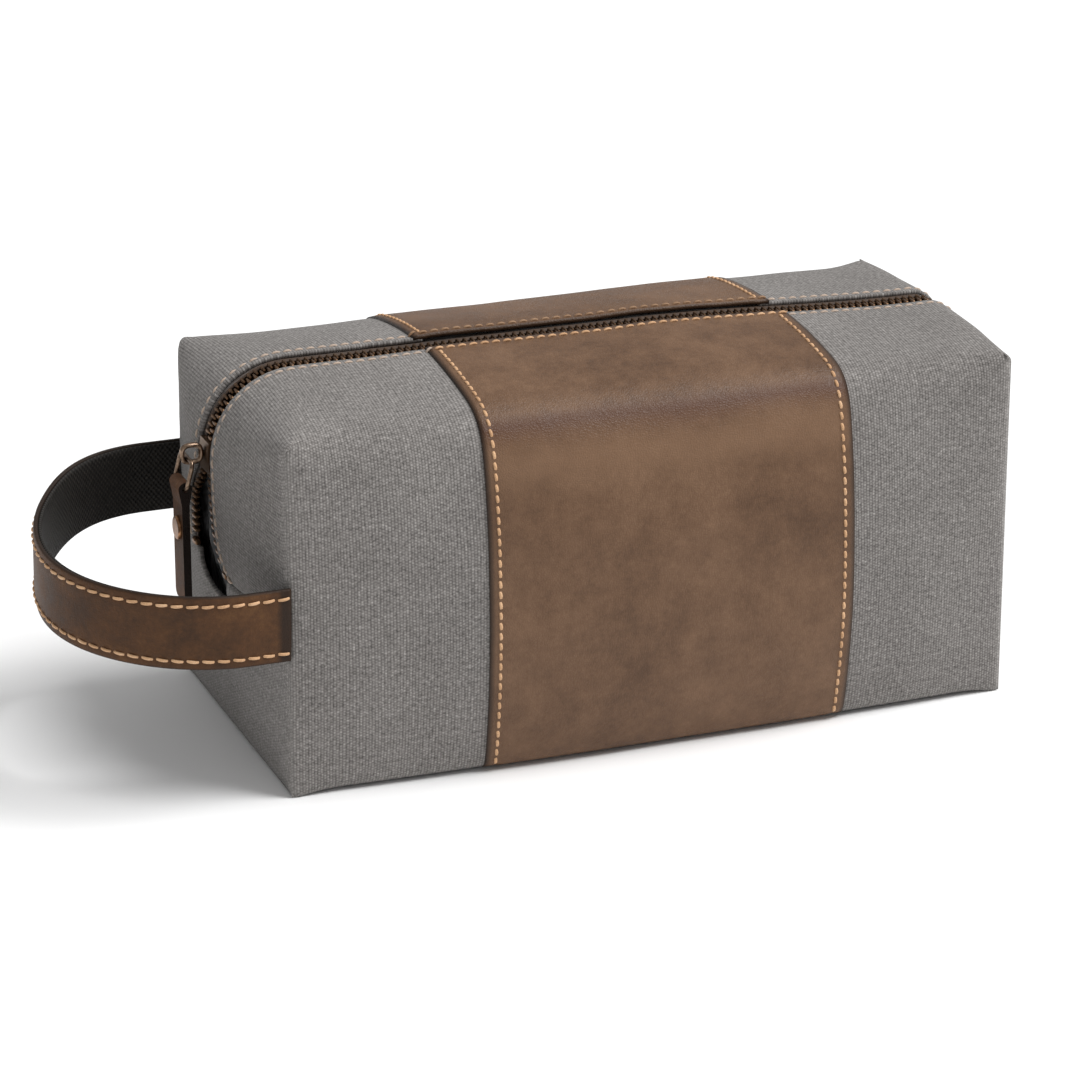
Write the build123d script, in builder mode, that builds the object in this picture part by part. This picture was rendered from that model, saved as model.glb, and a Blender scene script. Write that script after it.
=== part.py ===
from build123d import *

import os
from math import atan2, cos, degrees, radians, sin, sqrt

# A boxed shaving kit bag: canvas ends, a leather band round the middle, a long zip that runs over the
# top and down both ends to half height, and a wrist strap across the left end. Millimetres, +Z up,
# origin in the middle of the base. -X is the end with the slider and the strap, -Y is the front.

# ---- Driving sizes -------------------------------------------------------------------------------

# The body, measured at its sewn edges, and how far each face swells out between them. The margins keep
# one outline the outermost wherever two of them would only touch.
bag_length = 256.0
bag_depth = 117.0
bag_height = 122.0
top_crown = 8.0
face_bulge = 9.5
left_end_bulge = 9.0
right_end_bulge = 3.0
plan_margin = 1.2
crown_margin = 0.5
left_corner_radius = 30.0
right_corner_radius = 10.0
top_fold_radius = 8.0
base_fold_radius = 4.0
tightest_fold = 0.5

# The leather band round the middle.
band_width = 129.5
band_offset = 2.75

# The layers of the wall, from the outside in, and the gap that keeps neighbours from biting.
skin_thickness = 1.4
padding_thickness = 2.5
board_thickness = 1.2
lining_thickness = 0.5
layer_gap = 0.1

# The two top flaps: where they fold, where they end, and their running gaps.
fold_drop = 7.0
flap_setback = 9.0
flap_setback_right = 1.0
hinge_gap = 0.3
flap_end_gap = 0.4

# The zip: two tapes, two rows of teeth that mesh half a pitch apart, and the open mouth on the left end.
tape_thickness = 0.6
tape_width = 12.5
tape_edge = 3.5
tooth_pitch = 2.54
tooth_along = 0.9
tooth_height = 2.3
tooth_root = 3.2
tooth_overlap = 0.6
skin_edge = 6.2
lining_edge = 7.0
mouth_spread = 4.0
mouth_flare = 9.0
stop_length = 2.4
stop_inset = 1.3

# The slider, which is curved to ride round the left corner, and the bail on its outside.
slider_up = 5.8
slider_down = 5.0
slider_half_top = 4.7
slider_half_nose = 5.75
slider_shoulder_low = 1.5
slider_channel = 3.0
slider_plate = 1.4
slider_flange = 0.8
slider_slot = 1.2
post_half = 0.35
post_length = 1.3
post_inset = 0.2
bail_width = 2.4
bail_foot = 1.2
bail_wall = 1.2
bail_low = -2.0
bail_high = 5.2
bail_reach = 7.9
bail_gap = 0.15

# The pull: a wire ring through the bail, and a folded leather tab riveted round the ring.
ring_wire = 1.5
ring_span = 13.5
ring_drop = 9.6
ring_corner = 2.0
ring_lean = 14.5
ring_pivot_rise = 0.5
ring_pivot_in_bail = 2.4
tab_width = 10.6
tab_length = 40.2
tab_layer = 1.3
tab_bar_gap = 0.3
tab_neck = 6.0
tab_end_radius = 2.5
rivet_drop = 14.9
rivet_cap = 4.0
rivet_shank = 1.2
rivet_hole_gap = 0.1
rivet_cap_height = 1.0
rivet_cap_edge = 0.6
rivet_back = 3.0
rivet_back_height = 0.6
rivet_seat_gap = 0.05

# The wrist strap, and how much higher its back end is sewn than its front end.
strap_width = 25.4
strap_leather_thickness = 1.8
strap_webbing_thickness = 1.2
strap_reach = 66.5
strap_straight = 14.0
strap_pivot_out = 19.5
strap_height = 65.5
strap_rise = 8.0
strap_seam_gap = 0.3
strap_tail_reach = 9.0
strap_joint_gap = 0.3

# ---- Places worked out from them -----------------------------------------------------------------

half_length = bag_length / 2
half_depth = bag_depth / 2
top_height = bag_height + top_crown
left_end = -(half_length + left_end_bulge)
right_end = half_length + right_end_bulge
corner_x = left_end + left_corner_radius
corner_height = top_height - left_corner_radius
right_corner_x = right_end - right_corner_radius
right_corner_height = top_height - right_corner_radius
mouth_low = bag_height / 2
fold_height = bag_height - fold_drop
band_left = band_offset - band_width / 2
band_right = band_offset + band_width / 2
flap_left = corner_x + flap_setback
flap_right = right_corner_x - flap_setback_right
padding_top = skin_thickness + layer_gap
padding_bottom = padding_top + padding_thickness
lining_top = padding_bottom + layer_gap
lining_bottom = lining_top + lining_thickness
tape_bottom = padding_top + tape_thickness
chain_depth = (padding_top + tape_bottom) / 2
chain_radius = left_corner_radius - chain_depth
right_chain_radius = right_corner_radius - chain_depth
base_seam = padding_bottom
end_seam = half_length - skin_thickness - layer_gap / 2
padding_end_seam = half_length - padding_bottom
far = 2 * bag_length
half_gap = layer_gap / 2

os.makedirs("parts", exist_ok=True)


def save(piece, name):
    """Labels a finished piece and writes it."""
    piece.part.label = name
    export_step(piece.part, f"parts/{name}.step")


def block(x, y, z):
    """A box between pairs of limits, used to cut pieces out of a layer."""
    with BuildPart() as box:
        with BuildSketch(Plane.XY.offset(z[0])):
            with Locations(((x[0] + x[1]) / 2, (y[0] + y[1]) / 2)):
                Rectangle(x[1] - x[0], y[1] - y[0])
        extrude(amount=z[1] - z[0])
    return box.part


# ---- The shape of the body -----------------------------------------------------------------------


def side_outline(inset):
    """The body seen from the front, open below: leaning ends, a wide left corner and a tight right one."""
    with BuildLine() as outline:
        Line((-half_length + inset, inset), (left_end + inset, corner_height))
        CenterArc((corner_x, corner_height), left_corner_radius - inset, 180, -90)
        Line((corner_x, top_height - inset), (right_corner_x, top_height - inset))
        CenterArc((right_corner_x, right_corner_height), right_corner_radius - inset, 90, -90)
        Line((right_end - inset, right_corner_height), (half_length - inset, inset))
        Polyline(
            (half_length - inset, inset), (half_length - inset, -base_fold_radius),
            (-half_length + inset, -base_fold_radius), (-half_length + inset, inset),
        )
    return outline


def plan_outline(inset):
    """The body seen from above: four sewn corners with a swelling face between each two."""
    x = half_length - inset
    y = half_depth - inset
    with BuildLine() as outline:
        ThreePointArc((-x, -y), (0, -y - face_bulge - plan_margin), (x, -y))
        ThreePointArc((x, -y), (x + right_end_bulge + plan_margin, 0), (x, y))
        ThreePointArc((x, y), (0, y + face_bulge + plan_margin), (-x, y))
        ThreePointArc((-x, y), (-x - left_end_bulge - plan_margin, 0), (-x, -y))
    return outline


def cross_outline(inset):
    """The body seen from its end: a flat base, swelling faces and a crowned top."""
    y = half_depth - inset
    crown_top = top_height + crown_margin
    with BuildLine() as outline:
        Line((-y, inset), (y, inset))
        ThreePointArc((y, inset), (y + face_bulge, bag_height / 2), (y, bag_height - inset))
        ThreePointArc((y, bag_height - inset), (0, crown_top - inset), (-y, bag_height - inset))
        ThreePointArc((-y, bag_height - inset), (-y - face_bulge, bag_height / 2), (-y, inset))
    return outline


def envelope(inset):
    """The outside of the bag, moved inwards by the inset."""
    base_fold = max(base_fold_radius - inset, tightest_fold)
    top_fold = max(top_fold_radius - inset, tightest_fold)
    with BuildPart() as body:
        with BuildSketch(Plane.XZ):
            add(side_outline(inset))
            make_face()
        extrude(amount=far, both=True)
        with BuildSketch(Plane.XY):
            add(plan_outline(inset))
            make_face()
        extrude(amount=far, both=True, mode=Mode.INTERSECT)
        with BuildSketch(Plane.YZ) as cross:
            add(cross_outline(inset))
            make_face()
            fillet(cross.vertices().group_by(Axis.Y)[0], base_fold)
            fillet(cross.vertices().group_by(Axis.Y)[-1], top_fold)
        extrude(amount=far, both=True, mode=Mode.INTERSECT)
    return body.part


def layer(outer_inset, inner_inset):
    """One layer of the wall, all round the bag."""
    with BuildPart() as shell:
        add(envelope(outer_inset))
        add(envelope(inner_inset), mode=Mode.SUBTRACT)
    return shell.part


def mouth(height):
    """How far the zip's open mouth carries each row from the middle of the left end, at this height."""
    share = max(0.0, (corner_height - height) / (corner_height - mouth_low))
    return mouth_spread * sqrt(share) + mouth_flare * share**4


def open_side(offset, side):
    """The left half of the bag to one side of the zip, from this far beside its teeth's middle line."""
    steps = 8
    heights = [corner_height - (corner_height - mouth_low) * (k / steps) ** 2 for k in range(steps + 1)]
    edge = [(side * (offset + mouth(z)), z) for z in heights]
    with BuildPart() as region:
        with BuildSketch(Plane.YZ):
            with BuildLine():
                Spline(*edge)
                Polyline(edge[-1], (side * far, mouth_low), (side * far, far), (side * offset, far), edge[0])
            make_face()
        extrude(amount=-far)
    return region.part


def plain_side(offset, side):
    """The whole length of the bag to one side of the closed zip."""
    limits = sorted((side * offset, side * far))
    return block((-far, far), limits, (mouth_low, far))


print("layers")
skin = layer(0, skin_thickness)
padding = layer(padding_top, padding_bottom)
lining = layer(lining_top, lining_bottom)
tape = layer(padding_top, tape_bottom)
tape_groove = layer(skin_thickness - layer_gap, tape_bottom + layer_gap)

whole = (-far, far)
front_half = (-far, 0)
back_half = (0, far)
left_of_band = (-end_seam, band_left - half_gap)
in_band = (band_left + half_gap, band_right - half_gap)
right_of_band = (band_right + half_gap, end_seam)
wall_heights = (base_seam + half_gap, fold_height - hinge_gap / 2)
flap_heights = (fold_height + hinge_gap / 2, far)
corner_heights = (fold_height, far)
upper_heights = (mouth_low + half_gap, fold_height - half_gap)
lower_heights = (base_seam + half_gap, mouth_low - half_gap)
flap_lengths = (flap_left + flap_end_gap / 2, flap_right - flap_end_gap / 2)
left_corner_lengths = (-far, flap_left - flap_end_gap / 2)
right_corner_lengths = (flap_right + flap_end_gap / 2, far)
sides = {"front": -1, "back": 1}
halves = {"front": front_half, "back": back_half}
wall_inside = half_depth - lining_bottom
beyond_walls = {"front": (-far, -wall_inside), "back": (wall_inside, far)}

# ---- Base ----------------------------------------------------------------------------------------

base_lengths = {
    "base_canvas_left": (-far, band_left - half_gap),
    "base_leather_panel": in_band,
    "base_canvas_right": (band_right + half_gap, far),
}
print("base")
for name, lengths in base_lengths.items():
    with BuildPart() as base_panel:
        add(skin)
        add(block(lengths, whole, (-far, base_seam - half_gap)), mode=Mode.INTERSECT)
    save(base_panel, name)

base_board_top = padding_bottom
base_board_low = base_board_top - board_thickness
with BuildPart() as base_padding:
    add(envelope(padding_top))
    add(block(whole, whole, (0, base_board_low - layer_gap)), mode=Mode.INTERSECT)
save(base_padding, "base_padding")

with BuildPart() as base_board:
    add(envelope(padding_top + layer_gap))
    add(block(whole, whole, (base_board_low, base_board_top - half_gap)), mode=Mode.INTERSECT)
save(base_board, "base_board")

# ---- Front and back walls ------------------------------------------------------------------------

wall_lengths = {"canvas_left": left_of_band, "leather_panel": in_band, "canvas_right": right_of_band}
print("walls")
for half_name, half in halves.items():
    for panel_name, lengths in wall_lengths.items():
        with BuildPart() as wall_panel:
            add(skin)
            add(block(lengths, half, wall_heights), mode=Mode.INTERSECT)
        save(wall_panel, f"{half_name}_{panel_name}")
    with BuildPart() as wall_padding:
        add(padding)
        inner_lengths = (-padding_end_seam + half_gap, padding_end_seam - half_gap)
        add(block(inner_lengths, beyond_walls[half_name], wall_heights), mode=Mode.INTERSECT)
    save(wall_padding, f"{half_name}_padding")

# ---- Ends: a lower panel, and two upper quarters that carry the zip and the top corner -----------

print("ends")
end_lengths = {"left": (-far, -end_seam - layer_gap), "right": (end_seam + layer_gap, far)}
padded_end_lengths = {"left": (-far, -padding_end_seam), "right": (padding_end_seam, far)}
corner_lengths = {"left": left_corner_lengths, "right": right_corner_lengths}
side_regions = {"left": open_side, "right": plain_side}
for end in ("left", "right"):
    with BuildPart() as end_lower:
        add(skin)
        add(block(end_lengths[end], whole, lower_heights), mode=Mode.INTERSECT)
    save(end_lower, f"{end}_end_lower")
    beside = side_regions[end]
    with BuildPart() as end_padding:
        add(padding)
        add(block(padded_end_lengths[end], whole, lower_heights), mode=Mode.INTERSECT)
        for side in sides.values():
            with BuildPart(mode=Mode.PRIVATE) as quarter:
                add(padding)
                add(block(padded_end_lengths[end], whole, upper_heights), mode=Mode.INTERSECT)
                add(beside(lining_edge, side), mode=Mode.INTERSECT)
                add(tape_groove - beside(tape_edge + tape_width + layer_gap, side), mode=Mode.SUBTRACT)
            add(quarter.part)
    save(end_padding, f"{end}_end_padding")
    with BuildPart() as corner_padding:
        for side in sides.values():
            with BuildPart(mode=Mode.PRIVATE) as quarter:
                add(padding)
                add(block(corner_lengths[end], whole, corner_heights), mode=Mode.INTERSECT)
                add(beside(lining_edge, side), mode=Mode.INTERSECT)
                add(tape_groove - beside(tape_edge + tape_width + layer_gap, side), mode=Mode.SUBTRACT)
            add(quarter.part)
    save(corner_padding, f"{end}_corner_padding")
    face_block = block(end_lengths[end], whole, (mouth_low + half_gap, far))
    top_block = block(corner_lengths[end], whole, corner_heights)
    for side_name, side in sides.items():
        with BuildPart() as end_upper:
            add(skin)
            add(face_block + top_block, mode=Mode.INTERSECT)
            add(beside(skin_edge, side), mode=Mode.INTERSECT)
        save(end_upper, f"{end}_end_upper_{side_name}")
        with BuildPart() as end_tape:
            add(tape)
            add(face_block + top_block, mode=Mode.INTERSECT)
            add(beside(tape_edge, side), mode=Mode.INTERSECT)
            add(beside(tape_edge + tape_width, side), mode=Mode.SUBTRACT)
        save(end_tape, f"zip_tape_{side_name}_{end}")

# ---- Lining --------------------------------------------------------------------------------------

print("lining")
lining_reach = block(whole, whole, (0, fold_height - hinge_gap / 2))
for end in ("left", "right"):
    lining_reach = lining_reach + block(corner_lengths[end], whole, (0, far))
with BuildPart() as body_lining:
    add(lining)
    add(lining_reach, mode=Mode.INTERSECT)
    mouth_block = block((-far, 0), whole, (mouth_low, far))
    add(mouth_block - open_side(lining_edge, -1) - open_side(lining_edge, 1), mode=Mode.SUBTRACT)
    add(block((0, far), (-lining_edge, lining_edge), (mouth_low, far)), mode=Mode.SUBTRACT)
save(body_lining, "body_lining")

# ---- Top flaps -----------------------------------------------------------------------------------

flap_panels = {
    "canvas_left": (flap_lengths[0], band_left - half_gap),
    "leather": in_band,
    "canvas_right": (band_right + half_gap, flap_lengths[1]),
}
print("flaps")
for side_name, side in sides.items():
    for panel_name, lengths in flap_panels.items():
        with BuildPart() as flap_panel:
            add(skin)
            add(block(lengths, whole, flap_heights), mode=Mode.INTERSECT)
            add(plain_side(skin_edge, side), mode=Mode.INTERSECT)
        save(flap_panel, f"{side_name}_top_{panel_name}")
    with BuildPart() as flap_padding:
        add(padding)
        add(block(flap_lengths, whole, flap_heights), mode=Mode.INTERSECT)
        add(plain_side(lining_edge, side), mode=Mode.INTERSECT)
        add(tape_groove - plain_side(tape_edge + tape_width + layer_gap, side), mode=Mode.SUBTRACT)
    save(flap_padding, f"{side_name}_top_padding")
    with BuildPart() as flap_lining:
        add(lining)
        add(block(flap_lengths, whole, flap_heights), mode=Mode.INTERSECT)
        add(plain_side(lining_edge, side), mode=Mode.INTERSECT)
    save(flap_lining, f"{side_name}_top_lining")
    with BuildPart() as flap_tape:
        add(tape)
        add(block(flap_lengths, whole, flap_heights), mode=Mode.INTERSECT)
        add(plain_side(tape_edge, side), mode=Mode.INTERSECT)
        add(plain_side(tape_edge + tape_width, side), mode=Mode.SUBTRACT)
    save(flap_tape, f"zip_tape_{side_name}_top")

# ---- Zip teeth -----------------------------------------------------------------------------------

left_run = corner_height - mouth_low
left_turn = chain_radius * radians(90)
top_run = right_corner_x - corner_x
right_turn = right_chain_radius * radians(90)
right_run = right_corner_height - mouth_low
left_slope = left_end_bulge / corner_height
right_slope = right_end_bulge / right_corner_height


def chain_frame(along):
    """The middle of the zip at a distance from its left end: x, z, and the turn of its run from upright."""
    if along < left_run:
        below = left_run - along
        return corner_x - chain_radius + left_slope * below, corner_height - below, -degrees(left_slope)
    along -= left_run
    if along < left_turn:
        turn = along / chain_radius
        return corner_x - chain_radius * cos(turn), corner_height + chain_radius * sin(turn), degrees(turn)
    along -= left_turn
    if along < top_run:
        return corner_x + along, top_height - chain_depth, 90.0
    along -= top_run
    if along < right_turn:
        turn = along / right_chain_radius
        x = right_corner_x + right_chain_radius * sin(turn)
        return x, right_corner_height + right_chain_radius * cos(turn), 90 + degrees(turn)
    along -= right_turn
    x = right_corner_x + right_chain_radius - right_slope * along
    return x, right_corner_height - along, 180.0 + degrees(right_slope)


def zip_plane(along, across):
    """A plane on the zip whose Z runs along the zip and whose X points across it, to the back."""
    x, z, turn = chain_frame(along)
    run = (sin(radians(turn)), 0, cos(radians(turn)))
    return Plane(origin=(x, across, z), x_dir=(0, 1, 0), z_dir=run)


print("teeth")
zip_length = left_run + left_turn + top_run + right_turn + right_run
left_end_along = left_run + left_turn + (flap_left - corner_x)
right_end_along = left_run + left_turn + (flap_right - corner_x)
first_tooth = stop_length + tooth_pitch
tooth_count = int((zip_length - 2 * first_tooth) / tooth_pitch)
tooth_width = tooth_root + tooth_overlap
clear_of_joint = tooth_along / 2 + flap_end_gap / 2
for side_name, side in sides.items():
    start = first_tooth if side < 0 else first_tooth + tooth_pitch / 2
    rows = {"left": [], "top": [], "right": []}
    for k in range(tooth_count):
        along = start + k * tooth_pitch
        across = side * (mouth(chain_frame(along)[1]) if along < left_run else 0)
        middle = across + side * (tooth_root - tooth_width / 2)
        if along < left_end_along - clear_of_joint:
            rows["left"].append(zip_plane(along, middle))
        elif along > right_end_along + clear_of_joint:
            rows["right"].append(zip_plane(along, middle))
        elif left_end_along + clear_of_joint < along < right_end_along - clear_of_joint:
            rows["top"].append(zip_plane(along, middle))
    for stretch, planes in rows.items():
        with BuildPart() as teeth:
            with Locations(*planes):
                Box(tooth_width, tooth_height, tooth_along)
        save(teeth, f"zip_teeth_{side_name}_{stretch}")

stop_middle = stop_length / 2 + layer_gap
stop_width = tooth_width - stop_inset
with BuildPart() as zip_stops:
    for side in sides.values():
        across = side * (mouth(chain_frame(stop_middle)[1]) + tooth_root - stop_inset - stop_width / 2)
        with Locations(zip_plane(stop_middle, across)):
            Box(stop_width, tooth_height, stop_length)
    with Locations(zip_plane(zip_length - stop_middle, 0)):
        Box(2 * tooth_root, tooth_height, stop_length)
save(zip_stops, "zip_stops")

# ---- Slider --------------------------------------------------------------------------------------

print("slider")


def slider_block(half_top, half_nose, low, high):
    """The slider's outline seen from the left end, wide at the nose below and narrow above."""
    shoulder_low = corner_height - slider_shoulder_low
    shoulder_high = corner_height + slider_shoulder_low
    with BuildPart() as region:
        with BuildSketch(Plane.YZ):
            with BuildLine():
                Polyline(
                    (-half_nose, low), (-half_nose, shoulder_low), (-half_top, shoulder_high),
                    (-half_top, high), (half_top, high), (half_top, shoulder_high),
                    (half_nose, shoulder_low), (half_nose, low), close=True,
                )
            make_face()
        extrude(amount=-far)
    return region.part & block((-far, corner_x), (-far, far), (-far, far))


def corner_sleeve(thickness):
    """A curved slab of this thickness that follows the zip round the left corner."""
    with BuildPart() as sleeve:
        with BuildSketch(Plane.XZ):
            with Locations((corner_x, corner_height)):
                Circle(chain_radius + thickness / 2)
                Circle(chain_radius - thickness / 2, mode=Mode.SUBTRACT)
        extrude(amount=bag_depth / 2, both=True)
    return sleeve.part


slider_low = corner_height - slider_down
slider_high = corner_height + slider_up
slider_thickness = slider_channel + 2 * slider_plate
channel_top = slider_half_top - slider_flange
channel_nose = slider_half_nose - slider_flange
with BuildPart() as slider_body:
    add(corner_sleeve(slider_thickness))
    add(slider_block(slider_half_top, slider_half_nose, slider_low, slider_high), mode=Mode.INTERSECT)
    channel = corner_sleeve(slider_channel)
    passage = slider_block(channel_top, channel_nose, slider_low - slider_down, slider_high + slider_up)
    add(channel & passage, mode=Mode.SUBTRACT)
    add(corner_sleeve(slider_slot), mode=Mode.SUBTRACT)
    post_low = slider_low + post_inset
    post_x = corner_x - chain_radius
    post_reach = slider_channel / 2 + slider_plate / 2
    post_lengths = (post_x - post_reach, post_x + post_reach)
    add(block(post_lengths, (-post_half, post_half), (post_low, post_low + post_length)))
save(slider_body, "slider_body")

bail_inner_x = corner_x - chain_radius - slider_thickness / 2 - bail_gap
bail_outer_x = bail_inner_x - bail_reach
with BuildPart() as slider_bail:
    with BuildSketch(Plane.XZ):
        with Locations(((bail_inner_x + bail_outer_x) / 2, corner_height + (bail_low + bail_high) / 2)):
            RectangleRounded(bail_reach, bail_high - bail_low, bail_wall)
        hole_length = bail_reach - bail_wall - bail_foot
        hole_height = bail_high - bail_low - 2 * bail_wall
        hole_middle = (bail_inner_x - bail_foot + bail_outer_x + bail_wall) / 2
        with Locations((hole_middle, corner_height + (bail_low + bail_high) / 2)):
            RectangleRounded(hole_length, hole_height, bail_wall / 2, mode=Mode.SUBTRACT)
    extrude(amount=bail_width / 2, both=True)
save(slider_bail, "slider_bail")

# ---- Pull ring and tab ---------------------------------------------------------------------------

print("pull")
ring_top_x = bail_outer_x + ring_pivot_in_bail
ring_top_z = corner_height + ring_pivot_rise
lean = radians(ring_lean)
ring_down = (-sin(lean), 0, -cos(lean))
ring_out = (-cos(lean), 0, sin(lean))
ring_bar_x = ring_top_x + ring_drop * ring_down[0]
ring_bar_z = ring_top_z + ring_drop * ring_down[2]
ring_middle = ((ring_top_x + ring_bar_x) / 2, 0, (ring_top_z + ring_bar_z) / 2)
with BuildSketch(Plane(origin=ring_middle, x_dir=(0, 1, 0), z_dir=ring_out)) as ring_path:
    RectangleRounded(ring_span, ring_drop, ring_corner)
with BuildPart() as pull_ring:
    with BuildSketch(Plane(origin=(ring_top_x, 0, ring_top_z), x_dir=ring_down, z_dir=(0, 1, 0))):
        Circle(ring_wire / 2)
    sweep(path=ring_path.sketch.wires()[0])
save(pull_ring, "pull_ring")

tab_hole = ring_wire / 2 + tab_bar_gap
tab_low = ring_bar_z - tab_length
with BuildPart() as pull_tab:
    with BuildSketch(Plane.XZ):
        with Locations((ring_bar_x, ring_bar_z)):
            Circle(tab_hole + tab_layer)
        with BuildLine():
            shoulder = tab_hole + tab_layer
            Polyline(
                (ring_bar_x - shoulder, ring_bar_z), (ring_bar_x - tab_layer, ring_bar_z - tab_neck),
                (ring_bar_x - tab_layer, tab_low), (ring_bar_x + tab_layer, tab_low),
                (ring_bar_x + tab_layer, ring_bar_z - tab_neck), (ring_bar_x + shoulder, ring_bar_z),
                close=True,
            )
        make_face()
        with Locations((ring_bar_x, ring_bar_z)):
            Circle(tab_hole, mode=Mode.SUBTRACT)
    extrude(amount=tab_width / 2, both=True)
    fillet(pull_tab.edges().filter_by(Axis.X).group_by(Axis.Z)[0], tab_end_radius)
    with Locations(Plane(origin=(ring_bar_x, 0, ring_bar_z - rivet_drop), z_dir=(1, 0, 0))):
        Hole(rivet_shank + rivet_hole_gap)
save(pull_tab, "pull_tab")

rivet_z = ring_bar_z - rivet_drop
cap_x = ring_bar_x - tab_layer - rivet_seat_gap
back_x = ring_bar_x + tab_layer + rivet_seat_gap
with BuildPart() as pull_rivet:
    with BuildSketch(Plane(origin=(cap_x, 0, rivet_z), z_dir=(-1, 0, 0))):
        Circle(rivet_cap)
    extrude(amount=rivet_cap_height)
    fillet(pull_rivet.edges().group_by(Axis.X)[0], rivet_cap_edge)
    with BuildSketch(Plane(origin=(cap_x, 0, rivet_z), z_dir=(1, 0, 0))):
        Circle(rivet_shank)
    extrude(amount=back_x - cap_x)
    with BuildSketch(Plane(origin=(back_x, 0, rivet_z), z_dir=(1, 0, 0))):
        Circle(rivet_back)
    extrude(amount=rivet_back_height)
save(pull_rivet, "pull_rivet")

# ---- Wrist strap ---------------------------------------------------------------------------------

print("strap")
strap_thickness = strap_leather_thickness + layer_gap + strap_webbing_thickness
strap_half_span = half_depth + strap_seam_gap + strap_thickness
strap_root_x = -half_length - strap_seam_gap
strap_curve_x = -half_length - strap_straight
strap_half_reach = strap_reach - strap_straight
strap_pivot_x = -half_length - strap_pivot_out
strap_tilt = atan2(strap_rise, 2 * strap_half_span)
strap_up = (0, -sin(strap_tilt), cos(strap_tilt))
strap_along = (0, cos(strap_tilt), sin(strap_tilt))
strap_plane = Plane(origin=(0, 0, strap_height), x_dir=(1, 0, 0), z_dir=strap_up)
strap_side = Plane(origin=(0, 0, strap_height), x_dir=(1, 0, 0), z_dir=strap_along)


def strap_band(outer_inset, inner_inset):
    """The strap from end to end, between two depths below its outer face."""
    with BuildPart() as band:
        with BuildSketch(strap_plane):
            for inset, root, mode in ((outer_inset, 0, Mode.ADD), (inner_inset, 1, Mode.SUBTRACT)):
                across = strap_half_span - inset
                with BuildLine():
                    Line((strap_root_x + root, across), (strap_curve_x, across))
                    EllipticalCenterArc((strap_curve_x, 0), strap_half_reach - inset, across, 90, arc_size=180)
                    Line((strap_curve_x, -across), (strap_root_x + root, -across))
                    Line((strap_root_x + root, -across), (strap_root_x + root, across))
                make_face(mode=mode)
        extrude(amount=strap_width / 2, both=True)
    return band.part


def pivot_drum(radius):
    """A drum round the line that the strap swings about."""
    with BuildPart() as drum:
        with BuildSketch(strap_side):
            with Locations((strap_pivot_x, 0)):
                Circle(radius)
        extrude(amount=bag_depth, both=True)
    return drum.part


strap_beyond = block((-far, strap_pivot_x), whole, whole)
moving_reach = strap_beyond + pivot_drum(strap_width / 2)
with BuildPart() as strap_leather:
    add(strap_band(0, strap_leather_thickness))
    add(moving_reach, mode=Mode.INTERSECT)
save(strap_leather, "strap_leather")

with BuildPart() as strap_webbing:
    add(strap_band(strap_leather_thickness + layer_gap, strap_thickness))
    add(moving_reach, mode=Mode.INTERSECT)
save(strap_webbing, "strap_webbing")

with BuildPart() as strap_tails:
    add(strap_band(0, strap_thickness))
    add(block((-half_length - strap_tail_reach, far), whole, whole), mode=Mode.INTERSECT)
    add(pivot_drum(strap_width / 2 + strap_joint_gap), mode=Mode.SUBTRACT)
save(strap_tails, "strap_tails")

print("hinge lines: fold height", fold_height, "zip corner", corner_x, corner_height)
print("ring pivot", ring_top_x, ring_top_z, "tab pivot", ring_bar_x, ring_bar_z)
print("strap pivot", strap_pivot_x, strap_height, "tilt", degrees(strap_tilt), "teeth", tooth_count)
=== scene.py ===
import math

import bmesh
import bpy
import numpy as np
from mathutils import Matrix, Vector, noise


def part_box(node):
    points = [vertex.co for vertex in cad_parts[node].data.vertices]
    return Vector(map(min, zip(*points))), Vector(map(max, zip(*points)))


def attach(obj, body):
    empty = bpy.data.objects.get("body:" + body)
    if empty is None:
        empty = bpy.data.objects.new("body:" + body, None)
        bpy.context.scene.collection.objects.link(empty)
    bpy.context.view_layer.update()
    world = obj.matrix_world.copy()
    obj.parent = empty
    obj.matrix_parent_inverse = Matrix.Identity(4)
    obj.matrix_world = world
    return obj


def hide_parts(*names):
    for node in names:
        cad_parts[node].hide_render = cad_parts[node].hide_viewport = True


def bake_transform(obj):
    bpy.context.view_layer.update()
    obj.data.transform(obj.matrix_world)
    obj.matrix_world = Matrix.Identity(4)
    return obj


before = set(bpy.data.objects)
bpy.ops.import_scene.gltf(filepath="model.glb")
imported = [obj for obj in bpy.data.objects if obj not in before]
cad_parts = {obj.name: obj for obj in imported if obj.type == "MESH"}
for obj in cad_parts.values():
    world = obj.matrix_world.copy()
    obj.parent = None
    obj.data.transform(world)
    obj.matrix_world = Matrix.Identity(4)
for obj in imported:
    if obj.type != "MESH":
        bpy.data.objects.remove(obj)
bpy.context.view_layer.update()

# The shaving kit bag's looks. Shapes are worked out in millimetres, in the CAD frame, and written
# in metres. -X is the end with the slider and the strap, -Y is the front.

MM = 0.001
# The body at its sewn edges, and how far its faces stand out between them.
HALF_LENGTH, HALF_DEPTH, HEIGHT = 128.9, 59.3, 122.0
CROWN, BASE_BULGE, FACE_BULGE = 8.0, 2.2, 9.5
END_CROWN = {"left": CROWN, "right": 4.4}
# For each end: the sign of x, its bulge, and its top corner's radius at the zip and at the dart.
LEFT_BULGE = 9.0
ENDS = {"left": (-1, LEFT_BULGE, 30.0, 3.0), "right": (1, 3.0, 10.0, 2.5)}
SIDES = {"front": -1, "back": 1}  # the sign of y
BAND = {"left": 62.0, "right": 67.5}  # how far the leather band reaches towards each end
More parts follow.
